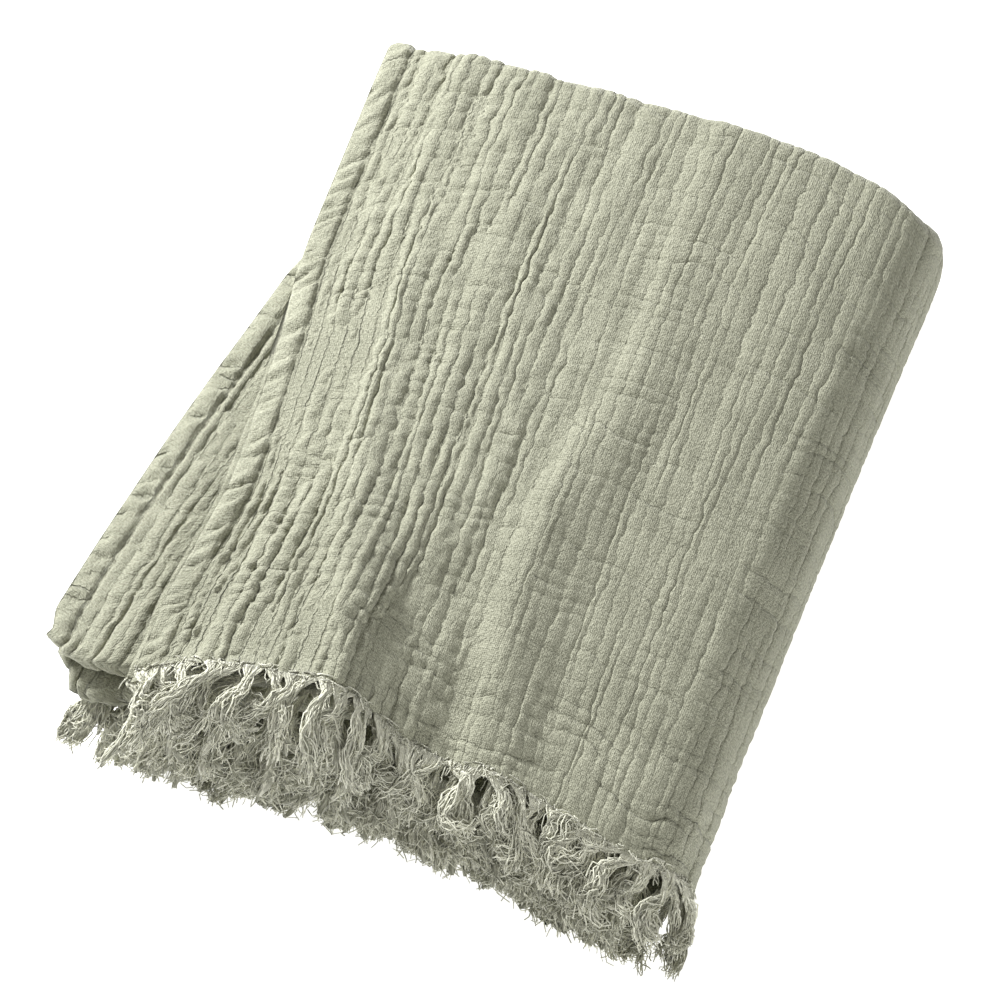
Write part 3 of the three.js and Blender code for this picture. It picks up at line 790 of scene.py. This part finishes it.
def make_cloth(material):
    level = level_pile()
    middle = settle(level[..., 0], level[..., 1], level[..., 2])
    s = lengths_along(level, 1)
    t = lengths_along(level, 0)
    width = s[:, -1:]
    normal = unit(np.cross(np.gradient(middle, axis=1), np.gradient(middle, axis=0)))

    outside, inside = (
        np.array([[shows(*row, *column) for column in COLUMN_CELLS] for row in ROW_CELLS])
        for shows in (shows_outside, shows_inside)
    )
    past_hem = np.minimum(s, width - s) - HEM_WIDTH
    strayed = s - rib_wander(s, t) * fade_mask(outside) * smooth_step(0, 12, past_hem)
    middle, normal = (shifted_along(s, strayed, grid) for grid in (middle, normal))
    normal = unit(normal)

    edge = np.minimum(strayed, width - strayed)
    ribs = rib_lines(strayed, t, edge, rib_phases()[None])
    pinches = pinch_lines(strayed, t, edge)
    relief = gauze_relief(strayed, t, edge, ribs, pinches)
    from_end = np.minimum(t, t[-1:] - t)
    thin = END["thin"] + (1 - END["thin"]) * smooth_step(0, END["thin_reach"], from_end)
    ragged = uneven("ragged_end", s, MID_CELL + 0 * t) * (1 - smooth_step(0, END["ragged_reach"], from_end))
    middle[..., 1] += ragged
    skins = []
    for fine, side in ((outside, 1), (inside, -1)):
        raised = (SHEET_THICKNESS / 2 - 0.2) * thin + relief * fade_mask(fine) * (0.45 + 0.55 * thin)
        skins.append(middle + normal * (side * raised)[..., None])
    points = np.concatenate([skin.reshape(-1, 3) for skin in skins])
    points[:, 2] = np.maximum(points[:, 2], FLOOR_CLEARANCE)
    seen = SEEN["hidden"] + (1 - SEEN["hidden"]) * fade_mask(outside)
    gathered = in_hem(edge) * under_top(t)
    more = SEEN["more_at_fold"] * near_large_fold(strayed) + SEEN["more_in_hem"] * gathered
    pinched = seen * (SEEN["pinches"] + more)
    attributes = {
        "sheet_place": (strayed * MM, t * MM),
        "rib_line": (ribs[0], ribs[1] * seen),
        "pinch_line": (pinches[0], pinches[1] * pinched),
    }

    faces, all_points = sheet_faces(outside, inside, points)
    used = np.unique(np.concatenate(faces))
    faces = [np.searchsorted(used, face).tolist() for face in faces]
    piece = mesh_object("gauze_sheet", to_scene(all_points[used]), faces, material)
    of_hubs = np.zeros((len(all_points) - len(points), 3))
    for name, values in attributes.items():
        flat = np.stack([*values, 0 * s], axis=-1).reshape(-1, 3)
        add_attribute(piece, name, "FLOAT_VECTOR", "vector", np.concatenate([flat, flat, of_hubs])[used])
    return piece


# The fringe

# The strands' roots and the edge's grid start inside the sheet
ROOT_INSET = 1.6
EDGE_INSET = ROOT_INSET + 2
EDGE_REACH = 62
EDGE_STEPS = 42
JOINED_STRETCHES = {"hem_and_highest": ("hem", "highest"), "upper_and_hem": ("upper", "other_hem")}
PAST_SIDES = 3.0


class Edge:
    """Places points past one fringed end, by the way across s, the way out and the height off it."""

    def __init__(self, ply_name):
        x, z = place(PLY[ply_name])
        self.s = np.insert(np.cumsum(np.hypot(np.diff(x), np.diff(z))), 0, 0)
        out = np.linspace(-EDGE_INSET, EDGE_REACH, EDGE_STEPS)[:, None]
        self.middle = settle(x + 0 * out, fringed_edge(x, z) - out, z + 0 * out)
        across = np.gradient(self.middle, axis=1)
        self.normal = unit(np.cross(np.gradient(self.middle, axis=0), across))
        self.across = unit(across)
        self.names = [ACROSS[index][0] for index, _ in COLUMN_LINES]

    def at(self, s, out, height):
        column = np.interp(s, self.s, np.arange(len(self.s)))
        row = np.clip((out + EDGE_INSET) / (EDGE_REACH + EDGE_INSET), 0, 1) * (EDGE_STEPS - 1)
        c = np.minimum(column.astype(int), len(self.s) - 2)
        r = np.minimum(row.astype(int), EDGE_STEPS - 2)
        fc, fr = (column - c)[..., None], (row - r)[..., None]

        def mix(grid):
            low = grid[r, c] * (1 - fc) + grid[r, c + 1] * fc
            high = grid[r + 1, c] * (1 - fc) + grid[r + 1, c + 1] * fc
            return low * (1 - fr) + high * fr

        beyond = PAST_SIDES * np.tanh((s - np.clip(s, self.s[0], self.s[-1])) / PAST_SIDES)
        placed = mix(self.middle) + unit(mix(self.normal)) * height[..., None]
        return placed + mix(self.across) * beyond[..., None]

    def stretch(self, name):
        joined = JOINED_STRETCHES.get(name, (name,))
        at = [s for s, own in zip(self.s, self.names) if own in joined]
        return min(at), max(at)


LOCK_PITCH = 11.2
YARN_RADIUS = 0.44
KINK = 0.36
STRAND_SIDES = 6
YARN_SIDES = 3
# A direction that no yarn follows
OFF_AXIS = (0.31, 0.17, 0.93)
# A strand is wider than it is high
FLATTENED = (1.3, 0.75)
# Each yarn and core reads its own place in the fibres' noise
FIBRE_SPACE = 400

# How the locks look, in millimetres: strands in a lock, yarns round each, points along each, and how far
# they curl, swell and fray, and up to how dark the strands' cores are painted, as painted shade inside the
# locks
FORM_COLUMNS = ("length", "strands", "yarns", "points", "wisps", "curl", "loops", "core", "core_end",
                "painted_core_shade", "flare", "lift", "loose", "tip_curl")
LOCK_FORMS = {
    "top": (44, 4, 11, 17, 9, 1.0, 0.2, 1.1, 0.84, 0.3, 1.9, 2.4, 0.25, 0.7),
    "under_top": (43, 3, 8, 13, 4, 0.9, 0.1, 1.4, 0.88, 0.3, 1.9, 1.5, 0.3, 0.8),
    "woolly": (45, 4, 10, 15, 3, 0.75, 0.08, 2.1, 0.88, 0.6, 2.0, 1.6, 0.34, 2.0),
    "lower": (46, 4, 7, 13, 1, 0.75, 0.05, 2.2, 0.88, 0.4, 2.0, 0.9, 0.34, 2.0),
}
FULL_TURN = 2 * math.pi

# How the locks and their strands and yarns vary: evenly between two values, or round zero by a spread
VARIES = {
    "length": (0.94, 1.06), "strand_length": (0.94, 1.03), "bend": (0.2, 0.8), "bend_turns": (0.5, 1.2),
    "wave": (0.2, 0.6), "strand_wave": (0.6, 1.3), "wave_turns": (1.2, 2.3), "lift": (0.1, 1.3),
    "strand_lift": (0.6, 1.4), "sway": (0.4, 1.7), "sway_turns": (0.7, 1.6), "twist": (-3, 3),
    "phase": (0, FULL_TURN), "bumps": (0.75, 1.2), "yarn_length": (0.88, 1.0), "fray_turns": (2.2, 4.6),
    "ring": (0.8, 1.15), "flare": (0.1, 1), "yarn_root": (-0.6, 0.6),
}
SPREADS = {"lean": 0.28, "strand_lean": 0.08, "hook": 0.7, "strand_hook": 0.4, "wave_phase": 0.6, "one": 1}

# Locks side by side lean and end alike: the noise's seed, how strong it is, and its period along the edge
LOCK_NOISE = {"length": (51, 0.16, 19), "lean": (52, 0.45, 23)}


def curved_path(length, heading):
    """Follows headings (0 is straight out) from the root: sideways and outward places."""
    step = length / (heading.shape[2] - 1)
    side = np.cumsum(np.sin(heading) * step, axis=2) - np.sin(heading[:, :, :1]) * step
    out = np.cumsum(np.cos(heading) * step, axis=2) - np.cos(heading[:, :, :1]) * step
    return side, out


def make_lock(edge, centre, form, rng):
    """One curly lock, in millimetres: rings of points round its strands, and lines of its yarns.

    The arrays go by strand, yarn, point along it and point round it."""
    strands, yarns, points, curl = form["strands"], form["yarns"], form["points"], form["curl"]
    lock, strand, single = (1, 1, 1, 1), (strands, 1, 1, 1), (strands, yarns, 1, 1)

    def vary(name, shape):
        return rng.uniform(*VARIES[name], shape)

    def spread(name, shape):
        return rng.normal(0, SPREADS[name], shape)

    def like_neighbours(name, row):
        seed, strength, period = LOCK_NOISE[name]
        return strength * Noise(seed)(centre / period, row)

    length = form["length"] * vary("length", lock) * vary("strand_length", strand)
    length = length * (1 + like_neighbours("length", form["length"] * 0.37 + edge.s[-1]))
    lean = curl * (spread("lean", lock) + spread("strand_lean", strand))
    lean = lean + like_neighbours("lean", form["length"] * 0.53)
    bend = curl * vary("bend", lock)
    bend_phase = vary("phase", lock)
    bend_turns = vary("bend_turns", lock) * FULL_TURN
    looped = np.where(rng.random(lock) < form["loops"], 3.0, 1.0)
    hook = curl * (spread("hook", lock) * looped + spread("strand_hook", strand))
    wave = curl * vary("wave", lock) * vary("strand_wave", strand)
    wave_phase = vary("phase", lock) + spread("wave_phase", strand)
    wave_turns = vary("wave_turns", lock) * FULL_TURN
    lift = form["lift"] * vary("lift", lock) * vary("strand_lift", strand)
    sway = vary("sway", strand)
    sway_phase = vary("phase", strand)
    sway_turns = vary("sway_turns", strand) * FULL_TURN
    twist = vary("twist", strand)
    root = ((np.arange(strands) + 0.5) / strands - 0.5).reshape(strand) * LOCK_PITCH

    def heading_at(share):
        heading = lean + bend * (np.sin(bend_turns * share + bend_phase) - np.sin(bend_phase) * (1 - share))
        heading = heading + hook * smooth_step(0.4, 1, share)
        return heading + wave * np.sin(wave_turns * share + wave_phase)

    def width_at(share):
        swell = 0.3 + 0.7 * smooth_step(0.12, 0.7, share)
        return form["core"] * swell * np.sqrt(1 - 0.85 * smooth_step(0.75, 1, share / form["core_end"]))

    def placed(share, heading, path_length, across, over, root_place):
        side, out = curved_path(path_length, heading)
        gathered = smooth_step(0, 0.25, share)
        from_root = root_place * (1 - 0.72 * gathered + 0.4 * smooth_step(0.4, 1, share))
        s = centre + from_root + side + across * np.cos(heading) * gathered
        out = out - across * np.sin(heading) * gathered - ROOT_INSET
        swing = sway * np.sin(sway_turns * share + sway_phase) * smooth_step(0, 0.35, share)
        height = lift * np.sin(math.pi * share) + swing + over * gathered
        return edge.at(*np.broadcast_arrays(s, out, height))

    share = np.linspace(0, form["core_end"], points).reshape(1, 1, -1, 1)
    heading = heading_at(share)
    angle = np.arange(STRAND_SIDES) * FULL_TURN / STRAND_SIDES
    bumpy = width_at(share) * vary("bumps", (strands, 1, points, STRAND_SIDES))
    across, over = FLATTENED[0] * bumpy * np.cos(angle), FLATTENED[1] * bumpy * np.sin(angle)
    rings = placed(share, heading, length * form["core_end"], across, over, root)[:, 0]
    fibres = np.stack(np.broadcast_arrays(across, over, share * length * 0.16), axis=-1)[:, 0]
    fibres = fibres + rng.uniform(0, FIBRE_SPACE, (strands, 1, 1, 3))

    ratio = vary("yarn_length", single)
    share = np.linspace(0, 1, points).reshape(1, 1, -1, 1) * ratio
    loose = spread("one", single) * form["loose"]
    fray_turns = vary("fray_turns", single) * FULL_TURN
    fray_phase = vary("phase", single)
    fray = 0.52 + 0.3 * np.abs(loose)
    heading = heading_at(share) + loose * smooth_step(0.35, 1, share)
    heading = heading + form["tip_curl"] * spread("one", single) * smooth_step(0.7, 1.1, share)
    heading = heading + fray * np.sin(fray_turns * share + fray_phase) * smooth_step(0.1, 0.5, share)
    ring = width_at(share) * vary("ring", single) + 0.15
    ring = ring + form["flare"] * smooth_step(0.4, 1, share) * vary("flare", single)
    angle = vary("phase", single) + twist * share
    kinks = KINK * spread("one", (2, strands, yarns, points, 1)) * smooth_step(0.04, 0.2, share)
    across = FLATTENED[0] * ring * np.cos(angle) + kinks[0]
    over = FLATTENED[1] * ring * np.sin(angle) + kinks[1]
    own_root = root + vary("yarn_root", single) * LOCK_PITCH / strands
    lines = placed(share, heading, length * ratio, across, over, own_root)
    return rings, fibres, lines.reshape(-1, points, 3)


WISPS = {"length": 9, "points": 8, "along_edge": 0.3}


def make_wisps(edge, start, end, count, rng):
    """Lines of the short loose yarns that stick out of the ragged edge between the locks."""
    single = (count, 1, 1, 1)
    share = np.linspace(0, 1, WISPS["points"]).reshape(1, 1, -1, 1)
    sideways = np.where(rng.random(single) < WISPS["along_edge"], 1.4, 0) * rng.choice([-1, 1], single)
    kinks = rng.normal(0, 0.4, (count, 1, WISPS["points"], 1))
    heading = sideways + rng.normal(0, 0.5, single) + rng.normal(0, 1.5, single) * share + kinks
    side, out = curved_path(WISPS["length"] * rng.uniform(0.4, 1.5, single), heading)
    s = np.clip(rng.uniform(start, end, single) + side, start, end)
    height = rng.uniform(0.1, 0.6, single) + rng.uniform(-0.8, 2.2, single) * share
    lines = edge.at(*np.broadcast_arrays(s, out - rng.uniform(0.5, 3.5, single), height))
    return lines[:, 0, :, 0]


def ring_faces(tubes, rings, sides):
    """Faces of closed tubes whose points go tube by tube, ring by ring."""
    k = np.arange(sides)
    turned = (k + 1) % sides
    starts = np.arange(tubes)[:, None] * rings * sides
    base = (starts + np.arange(rings - 1) * sides)[..., None]
    quads = np.stack([base + k, base + turned, base + sides + turned, base + sides + k], -1)
    groups = quads.reshape(-1, 4), starts + k[::-1], starts + (rings - 1) * sides + k
    return [face for group in groups for face in group.tolist()]


def yarn_rings(lines, radii):
    tangent = unit(np.gradient(lines, axis=1))
    side = unit(np.cross(tangent, unit(np.array(OFF_AXIS))))
    other = np.cross(side, tangent)
    angles = np.arange(YARN_SIDES) * FULL_TURN / YARN_SIDES
    offset = side[:, :, None] * np.cos(angles)[:, None] + other[:, :, None] * np.sin(angles)[:, None]
    return lines[:, :, None] + offset * radii[:, :, None, None]


def make_fringe(name, ply_name, stretches, seed, material):
    """The locks and wisps of some stretches of one fringed end, whose forms go by stretch."""
    edge = Edge(ply_name)
    rng = np.random.default_rng(seed)
    points, faces, places, tints_and_shades = [], [], [], []
    count = 0

    def add_tubes(tubes, fibre_places, low_tint_and_shade, high_tint_and_shade):
        nonlocal count
        points.append(tubes.reshape(-1, 3))
        faces.extend([k + count for k in face] for face in ring_faces(*tubes.shape[:3]))
        places.append(fibre_places.reshape(-1, 3))
        tint_and_shade = rng.uniform(low_tint_and_shade, high_tint_and_shade, len(tubes))
        tints_and_shades.append(np.repeat(tint_and_shade, tubes.shape[1] * tubes.shape[2]))
        count += tubes.size // 3

    def add_yarns(lines):
        along = np.linspace(0, 1, lines.shape[1])[None]
        radii = YARN_RADIUS * (1 - 0.3 * along**2) * rng.uniform(0.7, 1.3, (len(lines), 1))
        lines[..., 2] = np.maximum(lines[..., 2], radii + FLOOR_CLEARANCE)
        yarns = yarn_rings(lines, radii)
        fibre_places = rng.uniform(0, FIBRE_SPACE, (len(lines), 1, 1, 3)) + np.zeros(yarns.shape)
        fibre_places[..., 2] += along[..., None] * 12
        add_tubes(yarns, fibre_places, 0.45, 1.0)

    for stretch, form_name in stretches.items():
        form = dict(zip(FORM_COLUMNS, LOCK_FORMS[form_name]))
        start, end = edge.stretch(stretch)
        locks = max(1, round((end - start) / LOCK_PITCH))
        made = []
        for k in range(locks):
            centre = start + (end - start) * (k + 0.5) / locks + rng.uniform(-1.5, 1.5)
            made.append(make_lock(edge, centre, form, rng))
        rings, fibres, lines = (np.concatenate(parts) for parts in zip(*made))
        rings[..., 2] = np.maximum(rings[..., 2], FLOOR_CLEARANCE)
        # The strands' cores are painted darker than the yarns: painted shade inside each lock
        add_tubes(rings, fibres, 0.0, form["painted_core_shade"])
        add_yarns(lines)
        add_yarns(make_wisps(edge, start, end, form["wisps"] * locks, rng))
    piece = mesh_object(name, to_scene(np.concatenate(points)), faces, material)
    add_attribute(piece, "fibre_place", "FLOAT_VECTOR", "vector", np.concatenate(places) * MM)
    # Per tube: the yarns' own random tone, and on the cores painted shade
    add_attribute(piece, "yarn_tint_and_core_shade", "FLOAT", "value", np.concatenate(tints_and_shades))
    return piece


# Materials

SAGE_STOPS = [(0.1, (0.25, 0.254, 0.19)), (0.47, (0.43, 0.435, 0.33)), (0.85, (0.61, 0.615, 0.49))]
YARN_STOPS = [(0.15, (0.21, 0.213, 0.155)), (1.0, (0.93, 0.93, 0.78))]
THREAD_PERIOD = 1.05
THREAD_SCALE = FULL_TURN / (20 * THREAD_PERIOD * MM)
THREAD = {"Scale": THREAD_SCALE, "Distortion": 2.2, "Detail": 2.0, "Detail Scale": 1.2}
MATT = {"Roughness": 0.92, "Specular IOR Level": 0.15}
PALE = {"Base Color": (0.95, 0.95, 0.95, 1), "Emission Color": (1, 1, 1, 1), "Emission Strength": 0.74}


def set_inputs(node, values):
    for name, value in values.items():
        node.inputs[name].default_value = value


def add_node(tree, kind, inputs=None, **settings):
    node = tree.nodes.new(kind)
    for name, value in settings.items():
        setattr(node, name, value)
    set_inputs(node, inputs or {})
    return node


def math_node(tree, operation, first, second):
    node = add_node(tree, "ShaderNodeMath", operation=operation)
    for socket, value in zip(node.inputs, (first, second)):
        if isinstance(value, (int, float)):
            socket.default_value = value
        else:
            tree.links.new(value, socket)
    return node.outputs[0]


def weighted_sum(tree, *terms):
    """The sum of some values, each times its weight."""
    first, *others = [math_node(tree, "MULTIPLY", value, weight) for value, weight in terms]
    for other in others:
        first = math_node(tree, "ADD", first, other)
    return first


def map_range(tree, value, low, high, to_low, to_high, kind):
    inputs = {"From Min": low, "From Max": high, "To Min": to_low, "To Max": to_high}
    node = add_node(tree, "ShaderNodeMapRange", inputs, interpolation_type=kind)
    tree.links.new(value, node.inputs["Value"])
    return node.outputs["Result"]


def noise_node(tree, vector, scale, detail):
    node = add_node(tree, "ShaderNodeTexNoise", {"Scale": scale, "Detail": detail})
    tree.links.new(vector, node.inputs["Vector"])
    return node.outputs["Fac"]


def attribute_node(tree, name, output):
    return add_node(tree, "ShaderNodeAttribute", attribute_name=name).outputs[output]


def new_material(name):
    material = bpy.data.materials.new(name)
    material.use_nodes = True
    tree = material.node_tree
    return material, tree, next(n for n in tree.nodes if n.type == "BSDF_PRINCIPLED")


def finish_cotton(tree, shader, shade, stops, height, sheen):
    """Colours the cotton by its shade, and gives it a bump, a matt surface and a soft sheen."""
    ramp = add_node(tree, "ShaderNodeValToRGB")
    elements = ramp.color_ramp.elements
    for element, (position, colour) in zip(elements, (stops[0], stops[-1])):
        element.position, element.color = position, (*colour, 1)
    for position, colour in stops[1:-1]:
        elements.new(position).color = (*colour, 1)
    bump = add_node(tree, "ShaderNodeBump", {"Strength": 1.0, "Distance": MM})
    tree.links.new(shade, ramp.inputs["Fac"])
    tree.links.new(ramp.outputs["Color"], shader.inputs["Base Color"])
    tree.links.new(height, bump.inputs["Height"])
    tree.links.new(bump.outputs["Normal"], shader.inputs["Normal"])
    set_inputs(shader, MATT | {"Sheen Weight": sheen, "Sheen Roughness": 0.5})


def crinkle_lines(tree, name, jag, pitch, groove_width):
    """A jagged groove on each whole number of a line attribute, times its depth."""
    parts = add_node(tree, "ShaderNodeSeparateXYZ")
    tree.links.new(attribute_node(tree, name, "Vector"), parts.inputs["Vector"])
    phase = math_node(tree, "ADD", parts.outputs["X"], jag)
    distance = math_node(tree, "MULTIPLY", math_node(tree, "PINGPONG", phase, 0.5), pitch)
    groove = map_range(tree, distance, 0, groove_width, 1, 0, "SMOOTHSTEP")
    return math_node(tree, "MULTIPLY", groove, parts.outputs["Y"])


def gauze_material():
    material, tree, shader = new_material("sage_gauze")
    where = attribute_node(tree, "sheet_place", "Vector")
    threads = []
    for direction in ("X", "Y"):
        wave = add_node(tree, "ShaderNodeTexWave", THREAD, bands_direction=direction)
        tree.links.new(where, wave.inputs["Vector"])
        threads.append(wave.outputs["Fac"])
    weave = math_node(tree, "MULTIPLY", *threads)
    fuzz = map_range(tree, noise_node(tree, where, 900.0, 1.5), 0.36, 0.64, 0, 1, "LINEAR")
    tufts = noise_node(tree, where, 420.0, 2.0)
    cloudy = noise_node(tree, where, 38.0, 4.0)
    jag = map_range(tree, noise_node(tree, where, 230.0, 2.0), 0.3, 0.7, -0.09, 0.09, "LINEAR")
    ribs = crinkle_lines(tree, "rib_line", jag, RIB["pitch"], 0.85)
    pinches = crinkle_lines(tree, "pinch_line", jag, PINCH["pitch"], 1.0)
    grooves = weighted_sum(tree, (ribs, 1.0), (pinches, 0.8))
    grain = weighted_sum(tree, (weave, 0.45), (fuzz, 0.55))
    # The grooves also darken the colour: painted shade in the valleys of the ribs and puckers
    shade = weighted_sum(tree, (grain, 0.75), (cloudy, 0.35), (grooves, -0.12))
    height = weighted_sum(tree, (grain, 0.37), (tufts, 0.7), (grooves, -0.42))
    finish_cotton(tree, shader, shade, SAGE_STOPS, height, 0.25)
    return material


def yarn_material():
    material, tree, shader = new_material("sage_yarn")
    # Each yarn's own random tone, and on the strands' cores painted shade
    tint_and_shade = attribute_node(tree, "yarn_tint_and_core_shade", "Fac")
    fibre = attribute_node(tree, "fibre_place", "Vector")
    where = add_node(tree, "ShaderNodeTexCoord").outputs["Object"]
    streaks = map_range(tree, noise_node(tree, fibre, 1100.0, 1.0), 0.35, 0.65, 0, 1, "SMOOTHSTEP")
    fuzz = noise_node(tree, where, 1100.0, 2.0)
    shade = weighted_sum(tree, (tint_and_shade, 0.75), (streaks, 0.3), (fuzz, 0.3))
    height = weighted_sum(tree, (streaks, 0.5), (fuzz, 0.3))
    finish_cotton(tree, shader, shade, YARN_STOPS, height, 0.35)
    return material


def floor_material():
    material, _, shader = new_material("pale_floor")
    set_inputs(shader, MATT | PALE)
    return material


# Stage and light

FLOOR_SIZE = 6
SKY = {"Color": (1.0, 0.98, 0.91, 1), "Strength": 0.22}
# The way to each light, its distance, size and power
LIGHTS = {"key": ((-0.88, 0.48, 0.56), 2.4, 0.6, 102), "fill": ((0.65, -0.72, 0.35), 2.4, 0.9, 18)}


def make_floor():
    corners = [(x * FLOOR_SIZE, y * FLOOR_SIZE, 0) for x, y in ((-1, -1), (1, -1), (1, 1), (-1, 1))]
    floor = mesh_object("floor", corners, [[0, 1, 2, 3]], floor_material())


def area_light(name, direction, distance, size, power):
    data = bpy.data.lights.new(name, "AREA")
    data.shape = "DISK"
    data.size = size
    data.energy = power
    light = bpy.data.objects.new(name, data)
    x, y, z = unit(np.array(direction)) * distance
    light.location = (x, y, z)
    across = math.hypot(x, y)
    light.rotation_euler = (math.atan2(across, z), 0, math.atan2(y, x) + math.pi / 2)
    bpy.context.scene.collection.objects.link(light)


def make_light():
    world = bpy.data.worlds.new("studio")
    world.use_nodes = True
    set_inputs(world.node_tree.nodes["Background"], SKY)
    bpy.context.scene.world = world
    for name, light in LIGHTS.items():
        area_light(name, *light)


scene = bpy.context.scene
scene.view_settings.view_transform = "Standard"
scene.view_settings.look = "None"

make_floor()
make_light()

gauze = gauze_material()
yarn = yarn_material()

cloth = make_cloth(gauze)
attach(cloth, "root")
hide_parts("throw_cloth")

# The pieces of each fringed end: their stretches, and for each the seed and the form of its locks
PARTS = {
    "upper": ("hem_and_highest", "outer_fold"),
    "middle": ("lower", "upper_and_hem"),
    "lower": ("lowest", "left_fold"),
}
FRINGES = {
    "first": ("fringed_outer", {
        "upper": (31, "top", "top"), "middle": (32, "lower", "lower"), "lower": (42, "lower", "lower"),
    }),
    "other": ("fringed_inner", {
        "upper": (33, "under_top", "under_top"), "middle": (34, "lower", "woolly"),
        "lower": (44, "woolly", "lower"),
    }),
}
for end, (ply_name, parts) in FRINGES.items():
    node = f"fringe_{end}_end"
    for part, (seed, *forms) in parts.items():
        forms_by_stretch = dict(zip(PARTS[part], forms))
        piece = make_fringe(f"yarns_{end}_{part}", ply_name, forms_by_stretch, seed, yarn)
        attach(piece, "root")
        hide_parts(node)
